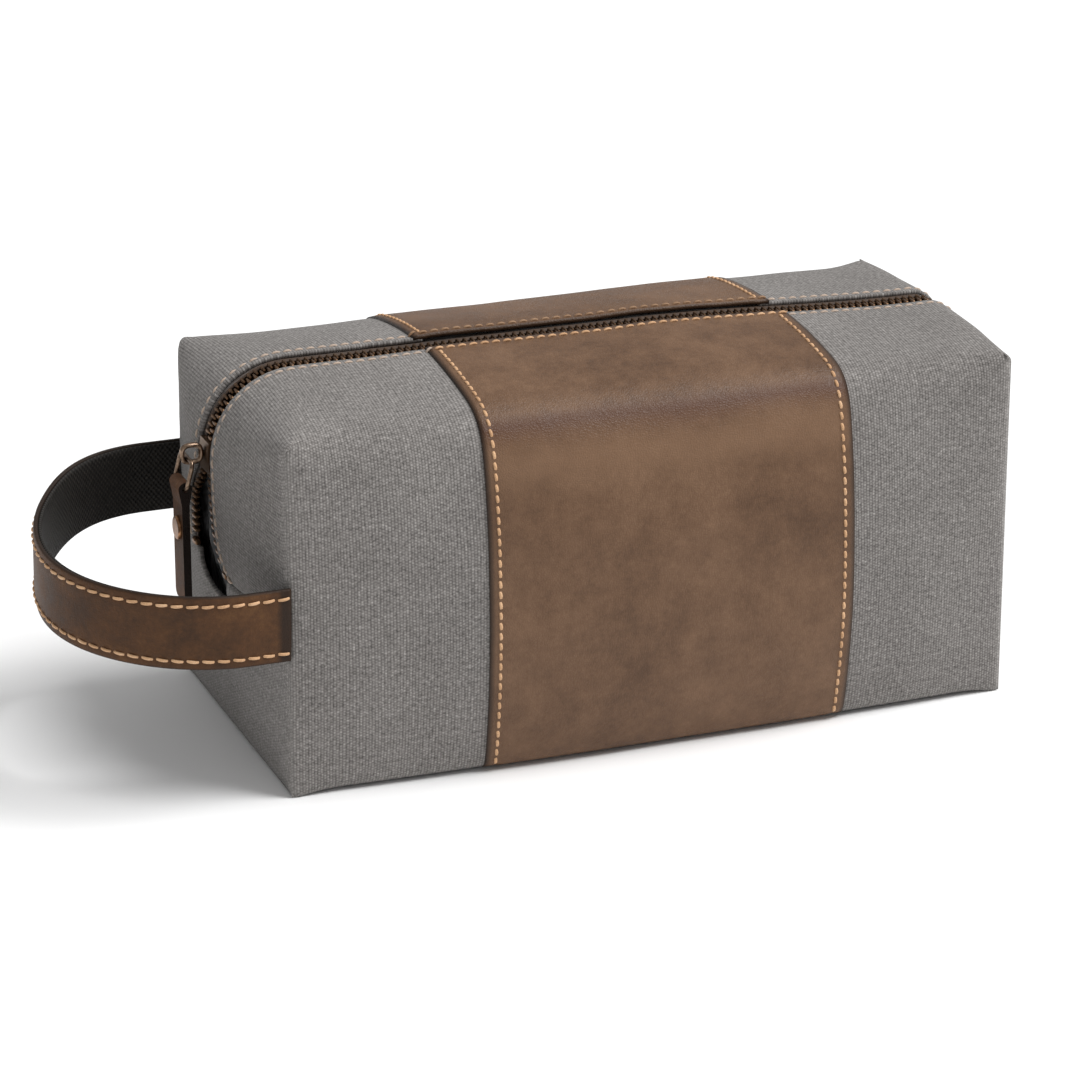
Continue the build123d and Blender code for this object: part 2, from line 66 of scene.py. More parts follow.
# The open zip's mouth at the left end: from the slider down to the cross seam, where the canvas
# hangs slack and is pressed in by the pull tab.
MOUTH_TOP, MOUTH_LOW = 100.0, 61.0
MOUTH_SLACK, SLACK_MIDDLE, SLACK_HALF = 13.0, 3.0, 16.0
TAB_DENT, TAB_DENT_HALF = 4.2, 11.0
# How thick the canvas, the tape and the lining are, and how deep the last two lie.
SKIN, TAPE, LINING_CLOTH = 1.4, 0.6, 0.4
TAPE_DEPTH, LINING_DEPTH = 1.5, 4.3
# How far each cloth's edge stays from the middle of the zip.
SKIN_EDGE, LINING_EDGE, TAPE_EDGE, TAPE_WIDTH = 6.2, 7.0, 3.5, 12.5
HIGH_ABOVE = 1e9  # a height above every corner, where an end stands at its full bulge


# ---- Meshes ----


def make(name, verts, faces, materials, layers=None, smooth=True):
    """A mesh object from points in millimetres; layers are point attributes, scalar or vector."""
    mesh = bpy.data.meshes.new(name)
    places = [tuple(v) for v in np.asarray(verts) * MM]
    mesh.from_pydata(places, [], [tuple(map(int, f)) for f in faces])
    for key, values in (layers or {}).items():
        values = np.asarray(values, np.float32)
        kind, field = ("FLOAT_VECTOR", "vector") if values.ndim == 2 else ("FLOAT", "value")
        mesh.attributes.new(key, kind, "POINT").data.foreach_set(field, values.ravel())
    if smooth:
        mesh.shade_smooth()
    for material in materials:
        mesh.materials.append(material)
    obj = bpy.data.objects.new(name, mesh)
    bpy.context.scene.collection.objects.link(obj)
    return obj


def grid_faces(columns, rows, start=0, flip=False):
    """The quads of a grid whose points run row by row within each column."""
    i = np.arange(columns - 1)[:, None] * rows + np.arange(rows - 1)[None, :] + start
    quads = np.stack([i, i + rows, i + rows + 1, i + 1], -1).reshape(-1, 4)
    return quads[:, ::-1] if flip else quads


def tube_faces(start, rings, corners):
    """The faces of a closed tube: quads from each ring of points to the next, and its two ends."""
    faces = []
    for i in range(rings - 1):
        for j in range(corners):
            a, b = start + i * corners + j, start + i * corners + (j + 1) % corners
            faces.append((a, b, b + corners, a + corners))
    last = start + (rings - 1) * corners
    faces.append(tuple(range(start, start + corners))[::-1])
    faces.append(tuple(range(last, last + corners)))
    return faces


def edit(obj, change):
    """Changes an object's mesh with one bmesh operation."""
    mesh = bmesh.new()
    mesh.from_mesh(obj.data)
    change(mesh)
    mesh.to_mesh(obj.data)
    mesh.free()
    obj.data.update()


def face_outwards(obj):
    """Makes a closed mesh's faces point outwards, and shades it smooth."""
    edit(obj, lambda mesh: bmesh.ops.recalc_face_normals(mesh, faces=mesh.faces))
    obj.data.shade_smooth()


class Shell:
    """Grids gathered into one mesh, with doubled points merged when it is made."""

    def __init__(self):
        self.verts, self.faces, self.layers, self.count = [], [], {}, 0

    def add(self, grid, flip=False, **layers):
        columns, rows = grid.shape[:2]
        self.verts.append(grid.reshape(-1, 3))
        self.faces.append(grid_faces(columns, rows, self.count, flip))
        for key, values in layers.items():
            values = np.asarray(values, float)
            values = values.reshape(columns * rows, *values.shape[2:])
            self.layers.setdefault(key, []).append(values)
        self.count += columns * rows

    def build(self, name, materials, merge=0.02):
        layers = {k: np.concatenate(v) for k, v in self.layers.items()}
        obj = make(name, np.concatenate(self.verts), np.concatenate(self.faces), materials, layers)
        gap = merge * MM
        edit(obj, lambda mesh: bmesh.ops.remove_doubles(mesh, verts=mesh.verts, dist=gap))
        obj.data.shade_smooth()
        return obj


def points(obj):
    """An object's points, in millimetres."""
    co = np.empty(len(obj.data.vertices) * 3, np.float32)
    obj.data.vertices.foreach_get("co", co)
    return co.reshape(-1, 3).astype(float) / MM


def normals(obj):
    """An object's point normals."""
    n = np.empty(len(obj.data.vertices) * 3, np.float32)
    obj.data.vertices.foreach_get("normal", n)
    return n.reshape(-1, 3).astype(float)


def put(obj, co):
    """Moves an object's points to these places, in millimetres."""
    obj.data.vertices.foreach_set("co", (co * MM).astype(np.float32).ravel())
    obj.data.update()


def smoothstep(low, high, value):
    """A smooth step from 0 at low to 1 at high."""
    t = np.clip((np.asarray(value, float) - low) / (high - low), 0, 1)
    return t * t * (3 - 2 * t)


def field(co, scale, seed=0.0):
    """Smooth noise at each point, about -1 to 1, with features this many millimetres across."""
    shift = Vector((seed, 0.37 * seed, -0.71 * seed))
    return np.array([noise.noise(Vector(p) / scale + shift) for p in co])


# ---- The body's surface ----


def lerp(a, b, t):
    """The value a share t of the way from a to b."""
    return a + (b - a) * t


# The mouth's edges: apart at once, the back edge swung wide, and both curled at the foot.
MOUTH_START, BACK_SWING, FRONT_CURL, BACK_CURL = 1.3, 16.0, 11.7, 3.0


def mouth(z, side):
    """How far the open zip carries this side's edge from the left end's middle at this height."""
    share = np.clip((MOUTH_TOP - z) / (MOUTH_TOP - MOUTH_LOW), 0, None)
    if side == "front":
        return MOUTH_START * np.sqrt(share) + FRONT_CURL * share**5
    swing = BACK_SWING * smoothstep(0.0, 0.58, share)
    return MOUTH_START * np.sqrt(share) + swing + BACK_CURL * share**5


def swell(y):
    """1 in the middle of an end or the top, and 0 at its sewn edges."""
    return 1 - (y / HALF_DEPTH) ** 2


def crown(x):
    """How far the top swells, which is less towards the right end."""
    return lerp(CROWN, END_CROWN["right"], smoothstep(20.0, 121.0, x))


def top_z(y, inset, crowned):
    """The height of the top, this far under its surface."""
    return HEIGHT + crowned * swell(y) - inset


def radius(end, y, inset):
    """The radius of the end's top corner, widest at the zip."""
    _, _, wide, tight = ENDS[end]
    return np.maximum(lerp(tight, wide, swell(y)) - inset, 0.8)


def end_x(end, y, z, inset):
    """The end's distance from the middle at this height, for heights below its top corner."""
    _, bulge, wide, _ = ENDS[end]
    corner = top_z(y, inset, END_CROWN[end]) - radius(end, y, inset)
    belly = 1 - np.clip(1 - z / corner, 0, 1) ** 2.2
    return HALF_LENGTH + bulge * swell(y) * belly - inset


def wall_y(x, z, inset):
    """The wall's distance from the middle: it bulges between its seams, and sags at its foot."""
    along = np.clip(1 - np.abs(x / HALF_LENGTH) ** 2.3, 0, None)
    up = np.clip(1 - np.abs((z - HEIGHT / 2) / (HEIGHT / 2)) ** 2.2, 0, None)
    foot = np.clip(1 - z / HEIGHT, 0, 1) ** 2
    return HALF_DEPTH + along * (FACE_BULGE * up + BASE_BULGE * foot) - inset


def soften(wrap, fold, reach, rounds, strength):
    """Rounds the fold at one row of a grid, by this much in each column."""
    rows = np.arange(wrap.shape[1])
    mask = np.exp(-(((rows - fold) / reach) ** 2))[None, :, None] * strength[:, None, None]
    for _ in range(rounds):
        mean = wrap.copy()
        mean[:, 1:-1] = (wrap[:, :-2] + wrap[:, 2:]) / 2
        wrap = wrap + 0.6 * mask * (mean - wrap)
    return wrap


BASE_ROWS, WALL_ROWS, TOP_ROWS = 24, 61, 29


def wrap_grid(end, side, inner, outer_share, columns, inset, edge):
    """The base, wall and top of one side, from x = inner out to a share of the way to the corner.

    Returns points [columns, rows], the rows running from the middle of the base to the zip."""
    sign = ENDS[end][0]
    t = np.linspace(0, outer_share, columns)[:, None]
    depth = HALF_DEPTH - inset
    corner = HALF_LENGTH - inset
    share = np.linspace(0, 1, BASE_ROWS, endpoint=False)[None, :]
    base_x = lerp(inner, corner, t) + 0 * share
    base = np.stack([base_x, share * wall_y(base_x, inset, inset), inset + 0 * base_x], -1)
    z = np.linspace(inset, HEIGHT - inset, WALL_ROWS)[None, :]
    dart = radius(end, HALF_DEPTH, inset)
    above = np.clip(z - (HEIGHT - inset - dart), 0, dart)
    seam = corner - (dart - np.sqrt(np.clip(dart**2 - above**2, 0, None)))
    wall_x = lerp(inner, seam, t)
    wall = np.stack([wall_x, wall_y(wall_x, z, inset), z + 0 * wall_x], -1)
    y = np.linspace(HALF_DEPTH, edge, TOP_ROWS)[None, 1:]
    start = end_x(end, y, HIGH_ABOVE, inset) - radius(end, y, inset)
    top_x = lerp(inner, start, t)
    z = top_z(y, inset, crown(sign * top_x))
    top = np.stack([top_x, np.minimum(y, depth) + 0 * top_x, z], -1)
    wrap = np.concatenate([base, wall, top], 1)
    inwards = smoothstep(1.0, 0.72, t[:, 0]) if outer_share >= 1 else np.ones(columns)
    wrap = soften(wrap, BASE_ROWS + WALL_ROWS - 1, 7, 26, 0.05 + 0.95 * inwards)
    wrap = soften(wrap, BASE_ROWS, 3, 4, 0.03 + 0.97 * inwards)
    wrap[..., 0] *= sign
    wrap[..., 1] *= SIDES[side]
    return wrap


CORNER_COLUMNS, END_COLUMNS = 16, 26


def corner_grid(end, side, first, inset, edge, outer=HALF_DEPTH):
    """The zip's corner and the upper quarter of an end, from the column where the top stops.

    It reaches from y = outer to the edge beside the zip."""
    sign = ENDS[end][0]
    rows = first.shape[0]
    s = np.linspace(0, 1, rows)[None, :]
    phi = np.linspace(0, math.pi / 2, CORNER_COLUMNS)[1:, None]
    y = lerp(outer, edge, s) + 0 * phi
    r = radius(end, y, inset)
    x = end_x(end, y, HIGH_ABOVE, inset) - r + r * np.sin(phi)
    z = top_z(y, inset, END_CROWN[end]) - r + r * np.cos(phi)
    turn = np.stack([x, y, z], -1)
    t = np.linspace(0, 1, END_COLUMNS)[1:, None]
    height = lerp(MOUTH_TOP, MOUTH_LOW, t)
    spread = mouth(height, side) if end == "left" else 0 * height
    y = lerp(outer if outer == HALF_DEPTH else outer + spread, edge + spread, s)
    z = lerp(top_z(y, inset, END_CROWN[end]) - radius(end, y, inset), MOUTH_LOW, t)
    fall = np.stack([end_x(end, y, z, inset), y, z], -1)
    grid = np.concatenate([turn, fall], 0)
    grid[..., 1] = np.minimum(grid[..., 1], HALF_DEPTH - inset)
    grid[..., 0] *= sign
    grid[..., 1] *= SIDES[side]
    return np.concatenate([first[None], grid], 0)


def tab_place(end, y, z):
    """Where the hanging pull tab presses on the left end, between 0 and 1."""
    if end == "right":
        return 0 * (y + z)
    return np.exp(-((y / TAB_DENT_HALF) ** 2)) * smoothstep(MOUTH_LOW - 46, MOUTH_LOW - 22, z)


def lower_end_grid(end, inset, columns=48, rows=30):
    """An end below its cross seam, the whole depth of the bag."""
    sign = ENDS[end][0]
    y = np.linspace(-1, 1, columns)[:, None] * (HALF_DEPTH - inset)
    slack = np.clip(1 - ((y - SLACK_MIDDLE) / SLACK_HALF) ** 2, 0, 1) * (end == "left")
    z = lerp(inset, MOUTH_LOW - MOUTH_SLACK * slack, np.linspace(0, 1, rows)[None, :])
    x = end_x(end, y * HALF_DEPTH / (HALF_DEPTH - inset), z, inset)
    x = x - TAB_DENT * tab_place(end, y, z)
    return np.stack([sign * x, y + 0 * z, z], -1)


def lengths(grid, axis):
    """The distance run along a grid's columns or rows from its start."""
    steps = np.linalg.norm(np.diff(grid, axis=axis), axis=-1)
    pad = np.zeros_like(np.take(steps, [0], axis))
    return np.cumsum(np.concatenate([pad, steps], axis), axis)


def fold_height(co):
    """The distance up the cloth from the top fold, below it negative."""
    return (co[..., 2] - HEIGHT) + np.clip(HALF_DEPTH - np.abs(co[..., 1]), 0, None)


def flap_share(co):
    """A weight for each point: 1 on the top, 0 on the walls and round both zip corners."""
    x = co[..., 0]
    ends = smoothstep(-110, -64, x) * (1 - smoothstep(84, 125, x))
    return ends * smoothstep(-13, 9, fold_height(co))


def blend(obj):
    """Bakes a piece's transform into its mesh."""
    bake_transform(obj)


def to_flap(obj, share=None):
    """Works out a piece's flap shares and bakes its transform into its mesh."""
    share = flap_share(points(obj)) if share is None else share
    blend(obj)


def corner_seam(co):
    """The distance from the nearest vertical corner seam."""
    along = np.clip(HALF_LENGTH - np.abs(co[..., 0]), 0, None)
    return along + np.clip(HALF_DEPTH - np.abs(co[..., 1]), 0, None)


def seams(co):
    """The distances from the canvas's nearest corner, cross seam and base seam."""
    at_end = 60.0 * smoothstep(HALF_LENGTH - 1, HALF_LENGTH - 4, np.abs(co[..., 0]))
    cross = np.abs(co[..., 2] - MOUTH_LOW) + at_end
    foot = co[..., 2] + np.clip(HALF_LENGTH - np.abs(co[..., 0]), 0, None)
    return corner_seam(co), cross, foot


def drawn_in(co):
    """Draws cloth in along its seams, the same for every piece that meets there."""
    corner, cross, foot = seams(co)
    sign_x, sign_y = np.sign(co[..., 0]), np.sign(co[..., 1])
    pulled = 0.6 * np.exp(-corner / 2.0)
    across = 1.0 * np.exp(-cross / 1.7) + 0.9 * np.exp(-foot / 1.7)
    x = co[..., 0] - sign_x * (0.7 * pulled + across * (1 - np.exp(-corner / 2.0)))
    y = co[..., 1] - sign_y * 0.7 * pulled
    return np.stack([x, y, co[..., 2]], -1)


def hollows(co):
    """The broad unevenness of stuffed cloth."""
    return 0.55 * field(co, 46.0, 3.1) + 0.22 * field(co, 17.0, 9.4)


def pucker(co, n, seam=60.0):
    """Gives cloth its broad hollows, and short puckers near a seam this far off."""
    short = 0.34 * field(co, 5.5, 5.7) * np.exp(-seam / 6.0)
    held = smoothstep(0.0, 7.0, co[:, 2]) * smoothstep(0.0, 5.0, seam)
    moved = co + n * ((hollows(co) + short) * held)[:, None]
    moved[:, 2] = np.maximum(moved[:, 2], 0.0)
    return moved


def settle(obj):
    """Gives a canvas piece its puckers and draws it in at its seams."""
    co = points(obj)
    nearest = np.minimum.reduce(seams(co))
    put(obj, drawn_in(pucker(co, normals(obj), nearest)))


# ---- Materials ----


class Paint:
    """A node material built line by line."""

    def __init__(self, name):
        self.material = bpy.data.materials.new(name)
        self.material.use_nodes = True
        self.nodes = self.material.node_tree.nodes
        self.links = self.material.node_tree.links
        self.shader = self.nodes["Principled BSDF"]

    def link(self, value, socket):
        if isinstance(value, bpy.types.NodeSocket):
            self.links.new(value, socket)
        else:
            socket.default_value = value

    def node(self, kind, inputs=None, out=0, **settings):
        n = self.nodes.new(kind)
        for key, value in settings.items():
            setattr(n, key, value)
        for key, value in (inputs or {}).items():
            self.link(value, n.inputs[key])
        return n.outputs[out]

    def math(self, operation, a, b=0.0, c=0.0, clamp=False):
        return self.node("ShaderNodeMath", {0: a, 1: b, 2: c}, operation=operation, use_clamp=clamp)

    def attribute(self, name, out="Fac"):
        n = self.nodes.new("ShaderNodeAttribute")
        n.attribute_name = name
        return n.outputs[out]

    def place(self):
        """Object coordinates, in millimetres."""
        coordinates = self.nodes.new("ShaderNodeTexCoord").outputs["Object"]
        return self.node("ShaderNodeVectorMath", {0: coordinates, 3: 1000.0}, operation="SCALE")

    def noise(self, vector, scale, detail=2.0, roughness=0.5, out=0):
        inputs = {"Vector": vector, "Scale": scale, "Detail": detail, "Roughness": roughness}
        return self.node("ShaderNodeTexNoise", inputs, out)

    def stretch(self, vector, scale):
        return self.node("ShaderNodeVectorMath", {0: vector, 1: scale}, operation="MULTIPLY")

    def add(self, first, *terms):
        """The sum of some values."""
        for term in terms:
            first = self.math("ADD", first, term)
        return first

    def times(self, a, b, clamp=False):
        return self.math("MULTIPLY", a, b, clamp=clamp)

    def mix(self, factor, a, b):
        n = self.nodes.new("ShaderNodeMix")
        n.data_type = "RGBA"
        self.link(factor, n.inputs[0])
        self.link(a, n.inputs[6])
        self.link(b, n.inputs[7])
        return n.outputs[2]

    def ramp(self, factor, stops):
        n = self.nodes.new("ShaderNodeValToRGB")
        self.link(factor, n.inputs[0])
        elements = n.color_ramp.elements
        while len(elements) < len(stops):
            elements.new(0.5)
        for element, (position, colour) in zip(elements, stops):
            element.position = position
            element.color = colour
        return n.outputs[0]

    def bump(self, height, strength, distance, under=None):
        inputs = {"Height": height, "Strength": strength, "Distance": distance}
        if under is not None:
            inputs["Normal"] = under
        return self.node("ShaderNodeBump", inputs)

    def finish(self, colour=None, roughness=None, normal=None, **values):
        """Sets the shader's inputs; a name's underscores stand for spaces."""
        inputs = {"Base Color": colour, "Roughness": roughness, "Normal": normal}
        inputs.update({key.replace("_", " "): value for key, value in values.items()})
        for key, value in inputs.items():
            if value is not None:
                self.link(value, self.shader.inputs[key])
        return self.material


def srgb(r, g, b):
    """A linear colour from an 8-bit one."""
    return tuple(((c / 255 + 0.055) / 1.055) ** 2.4 for c in (r, g, b)) + (1.0,)


RIB_PITCH, PICK_PITCH = 1.05, 1.0  # the distance between threads, in millimetres


def canvas_material():
    """A heavy washed canvas: fat warp ribs, thinner picks over them, slubs and faded threads."""
    p = Paint("canvas")
    cloth = p.attribute("cloth", "Vector")
    wander = p.noise(p.stretch(cloth, (0.05, 0.02, 1.0)), 1.0, 2.0, out=1)
    half = (0.5, 0.5, 0.5)
    drift = p.node("ShaderNodeVectorMath", {0: wander, 1: half}, operation="SUBTRACT")
    drift = p.stretch(drift, (1.6, 1.6, 0.0))
    cloth = p.node("ShaderNodeVectorMath", {0: cloth, 1: drift}, operation="ADD")
    split = p.nodes.new("ShaderNodeSeparateXYZ")
    p.links.new(cloth, split.inputs[0])
    rib = p.times(split.outputs[0], 1 / RIB_PITCH)
    row = p.math("FLOOR", rib)
    offset = p.times(p.math("MODULO", row, 2.0), 0.5)
    pick = p.add(p.times(split.outputs[1], 1 / PICK_PITCH), offset)
    across = p.math("SINE", p.times(p.math("FRACT", rib), math.pi))
    over = p.math("ABSOLUTE", p.math("SINE", p.times(pick, math.pi)))
    thread = p.times(p.math("POWER", across, 0.7), p.add(p.times(over, 0.72), 0.28))
    slub = p.noise(p.stretch(cloth, (0.85, 0.20, 1.0)), 1.0, 2.0)
    weft = p.noise(p.stretch(cloth, (0.10, 1.0, 1.0)), 1.0, 2.0)
    fleck = p.noise(cloth, 0.85, 2.0)
    broad = p.noise(cloth, 0.035, 3.0)
    parts = [p.times(slub, 0.34), p.times(weft, 0.26), p.times(fleck, 0.82), p.times(broad, 0.20)]
    tone = p.math("SUBTRACT", p.add(p.times(thread, 0.36), *parts), 0.54)
    stops = [(0.10, srgb(78, 75, 73)), (0.42, srgb(120, 116, 113)), (0.62, srgb(142, 138, 135)),
             (0.90, srgb(182, 178, 174))]
    colour = p.ramp(tone, stops)
    worn = p.attribute("worn")
    colour = p.mix(p.times(worn, 0.35, clamp=True), colour, srgb(186, 182, 178))
    height = p.add(p.times(thread, 0.7), p.times(fleck, 0.5))
    normal = p.bump(height, 0.6, 0.00035)
    rough = p.add(p.times(fleck, 0.15), 0.80)
    sheen = {"Sheen_Weight": 0.12, "Sheen_Roughness": 0.5}
    return p.finish(colour, rough, normal, Specular_IOR_Level=0.18, **sheen)


def leather_material(name, mid, dark, light, painted_fold_shade_colour, gloss=0.46, shine=0.32, dark_sides=False):
    """Oiled leather: cloudy browns, fine pores and creases, scuffs, dark edge paint, and painted
    shade and a painted sheen band at the top fold.
    """
    p = Paint(name)
    place = p.place()
    cloud = p.noise(place, 0.021, 4.0, 0.55)
    mottle = p.noise(place, 0.11, 7.0, 0.70)
    fine = p.noise(place, 0.62, 4.0, 0.6)
    tone = p.add(p.times(cloud, 1.0), p.times(mottle, 1.0), p.times(fine, 0.42))
    tone = p.math("SUBTRACT", tone, 0.71)
    colour = p.ramp(tone, [(0.20, dark), (0.50, mid), (0.85, light)])
    cells = p.nodes.new("ShaderNodeTexVoronoi")
    cells.feature = "DISTANCE_TO_EDGE"
    jitter = p.noise(place, 0.8, 2.0, out=1)
    warp = p.node("ShaderNodeVectorMath", {0: jitter, 3: 0.9}, operation="SCALE")
    warped = p.node("ShaderNodeVectorMath", {0: place, 1: warp}, operation="ADD")
    p.link(warped, cells.inputs["Vector"])
    cells.inputs["Scale"].default_value = 1.15
    pores = p.times(cells.outputs["Distance"], 3.2, clamp=True)
    colour = p.mix(p.times(p.math("SUBTRACT", 1.0, pores), 0.22), colour, dark)
    scuff = p.noise(p.stretch(place, (0.05, 0.6, 0.33)), 1.0, 5.0, 0.7)
    scuffs = p.times(p.math("SUBTRACT", scuff, 0.60), 5.0, clamp=True)
    colour = p.mix(p.times(scuffs, 0.30), colour, light)
    # Painted shade: a darker, redder band on the leather just below the top fold.
    colour = p.mix(p.attribute("painted_fold_shade"), colour, painted_fold_shade_colour)
    # Painted sheen: a lighter band on the wall further below the top fold, mixed towards the light
    # tone.
    colour = p.mix(p.attribute("painted_fold_sheen"), colour, light)
    # This layer is edge paint; on the strap it also holds painted shade at the roots.
    colour = p.mix(p.attribute("edge"), colour, srgb(38, 27, 20))
    if dark_sides:
        facing = p.nodes.new("ShaderNodeSeparateXYZ")
        p.links.new(p.node("ShaderNodeNewGeometry", out=1), facing.inputs[0])
        across = p.math("ABSOLUTE", facing.outputs[1])
        painted = p.times(p.math("SUBTRACT", across, 0.45), 3.0, clamp=True)
        colour = p.mix(painted, colour, srgb(30, 22, 18))
    height = p.add(p.times(pores, 0.5), p.times(fine, 0.9), p.times(mottle, 0.8))
    normal = p.bump(height, 0.42, 0.00035)
    rough = p.add(p.times(mottle, 0.30), gloss - 0.13, p.times(scuffs, 0.12))
    return p.finish(colour, rough, normal, Specular_IOR_Level=shine)


def webbing_material():
    """Black nylon webbing in a fine plain weave."""
    p = Paint("webbing")
    split = p.nodes.new("ShaderNodeSeparateXYZ")
    p.links.new(p.attribute("cloth", "Vector"), split.inputs[0])
    u = p.times(split.outputs[0], math.pi / 0.85)
    v = p.times(split.outputs[1], math.pi / 1.05)
    checks = p.times(p.math("SINE", u), p.math("SINE", v))
    lift = p.add(p.times(checks, 0.5), 0.5)
    cloudy = p.noise(p.attribute("cloth", "Vector"), 0.5, 3.0)
    tone = p.add(p.times(lift, 0.55), p.times(cloudy, 0.55))
    stops = [(0.25, srgb(15, 13, 11)), (0.6, srgb(29, 26, 23)), (0.95, srgb(58, 53, 47))]
    colour = p.ramp(tone, stops)
    rough = p.add(p.times(cloudy, 0.2), 0.55)
    return p.finish(colour, rough, p.bump(lift, 0.8, 0.0004), Specular_IOR_Level=0.3)


def cloth_material(name, dark, light, weave, rough_low, sheen):
    """A thin plain-woven cloth, for the lining and the zip tape."""
    p = Paint(name)
    place = p.place()
    fine = p.noise(place, weave, 2.0)
    broad = p.noise(place, 0.05, 3.0)
    tone = p.add(p.times(fine, 0.7), p.times(broad, 0.3))
    colour = p.ramp(tone, [(0.3, dark), (0.75, light)])
    crease = p.noise(p.stretch(place, (0.05, 0.22, 0.06)), 1.0, 3.0, 0.6)
    normal = p.bump(fine, 0.35, 0.0002, p.bump(crease, 0.5, 0.004))
    rough = p.add(p.times(broad, 0.15), rough_low)
    sheens = {"Sheen_Weight": sheen, "Sheen_Roughness": 0.4}
    return p.finish(colour, rough, normal, Specular_IOR_Level=0.5, **sheens)


def metal_material(name, dark, light, rough_low):
    """Aged brass or bronze: bright where it rubs, dark and rougher in its hollows."""
    p = Paint(name)
    place = p.place()
    patina = p.noise(place, 0.55, 4.0, 0.6)
    fine = p.noise(place, 3.0, 3.0)
    pointiness = p.node("ShaderNodeNewGeometry", out=7)
    rubbed = p.times(p.math("SUBTRACT", pointiness, 0.5), 2.0)
    tone = p.add(p.times(patina, 0.75), p.times(fine, 0.2), rubbed)
    colour = p.ramp(tone, [(0.32, dark), (0.72, light)])
    rough = p.add(p.times(patina, 0.22), rough_low)
    return p.finish(colour, rough, p.bump(fine, 0.15, 0.00012), Metallic=1.0)


def thread_material():
    """Waxed tan thread, twisted, a little darker where it is handled."""
    p = Paint("thread")
    place = p.place()
    twist = p.noise(place, 2.4, 2.0)
    wear = p.noise(place, 0.11, 2.0)
    tone = p.add(p.times(twist, 0.5), p.times(wear, 0.6))
    stops = [(0.3, srgb(172, 130, 92)), (0.6, srgb(212, 170, 130)), (0.85, srgb(236, 202, 168))]
    colour = p.ramp(tone, stops)
    colour = p.mix(p.attribute("faded"), colour, srgb(178, 165, 154))
    colour = p.mix(p.attribute("stained"), colour, srgb(112, 86, 66))
    return p.finish(colour, 0.62, p.bump(twist, 0.5, 0.0002), Specular_IOR_Level=0.3)


CANVAS = canvas_material()
LEATHER = leather_material(
    "leather", srgb(108, 80, 58), srgb(86, 61, 42), srgb(128, 98, 74), srgb(80, 48, 30)
)
STRAP_LEATHER = leather_material(
    "strap_leather", srgb(88, 58, 34), srgb(64, 42, 25), srgb(114, 80, 48), srgb(64, 38, 24),
    gloss=0.50, shine=0.20,
)
WEBBING = webbing_material()
LINING = cloth_material("lining", srgb(10, 10, 11), srgb(34, 34, 36), 1.6, 0.26, 0.1)
TAPE_CLOTH = cloth_material("zip_tape", srgb(44, 31, 22), srgb(88, 65, 46), 1.3, 0.62, 0.2)
ZIP_METAL = metal_material("zip_metal", srgb(44, 32, 24), srgb(122, 94, 70), 0.30)
SLIDER_METAL = metal_material("slider_metal", srgb(58, 46, 39), srgb(172, 146, 124), 0.20)
SLIDER_DARK = metal_material("slider_dark", srgb(34, 27, 22), srgb(104, 82, 64), 0.30)
TAB_LEATHER = leather_material(
    "tab_leather", srgb(96, 66, 46), srgb(66, 44, 30), srgb(124, 90, 64), srgb(64, 38, 24),
    gloss=0.55, shine=0.12, dark_sides=True,
)
RIVET_METAL = metal_material("rivet_metal", srgb(84, 54, 36), srgb(196, 148, 110), 0.22)
THREAD = thread_material()


# ---- Canvas, leather and lining ----


def cloth_layers(grid, start_u=0.0):
    """Where the weave falls on a grid: along its columns, and up its rows."""
    u, v = lengths(grid, 0), lengths(grid, 1)
    return np.stack([start_u + u, v[:1] + 0 * u, 0 * u], -1)


def thicken(obj, thickness):
    """Gives a sheet its thickness, inwards."""
    m = obj.modifiers.new("thickness", "SOLIDIFY")
    m.thickness = thickness * MM
    m.offset = -1.0


def outward(obj):
    """Turns a sheet's faces so that their normals point away from the middle of the bag."""
    centre = np.array([0.0, 0.0, HEIGHT / 2])
    if np.sum((points(obj) - centre) * normals(obj)) < 0:
        edit(obj, lambda mesh: bmesh.ops.reverse_faces(mesh, faces=mesh.faces))


def canvas_quarter(end, side):
    """One end's canvas on one side: half the base, the wall, the top and a quarter of the end."""
    inner = BAND[end] - 3.0
    wrap = wrap_grid(end, side, inner, 1.0, 36, 0.0, SKIN_EDGE)
    corner = corner_grid(end, side, wrap[-1, -TOP_ROWS:], 0.0, SKIN_EDGE)
    cloth = cloth_layers(wrap)
    turned = cloth_layers(corner, cloth[-1, -TOP_ROWS:, 0])
    turned[..., 1] += cloth[-1, -TOP_ROWS, 1]
    flip = (ENDS[end][0] * SIDES[side]) > 0
    shell = Shell()
    for grid, weave in ((wrap, cloth), (corner, turned)):
        shell.add(grid, flip, cloth=weave, worn=0.6 * np.exp(-corner_seam(grid) / 1.5))
    obj = shell.build(f"canvas_{end}_{side}", [CANVAS])
    outward(obj)
    settle(obj)
    thicken(obj, SKIN)
    to_flap(obj)
    nodes = [f"{side}_canvas_{end}", f"{end}_end_upper_{side}", f"{side}_top_canvas_{end}"]
    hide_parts(*nodes)


def lower_end(end):
    """An end's canvas below its cross seam."""
    grid = lower_end_grid(end, 0.0)
    cloth = np.stack([grid[..., 1], grid[..., 2], 0 * grid[..., 2]], -1)
    shell = Shell()
    shell.add(grid, cloth=cloth, worn=0.5 * np.exp(-corner_seam(grid) / 1.5))
    obj = shell.build(f"canvas_{end}_lower", [CANVAS])
    outward(obj)
    settle(obj)
    thicken(obj, SKIN)
    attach(obj, "bag")
    inside = [f"{end}_end_padding", f"{end}_corner_padding"]
    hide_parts(f"{end}_end_lower", f"base_canvas_{end}", *inside)


LEATHER_LIFT = 0.9  # how far the leather stands off the canvas
LEATHER_COLUMNS, LEATHER_LAP = 66, 0.4
BAND_STITCH = 3.2  # how far inside the leather's edge its stitches run


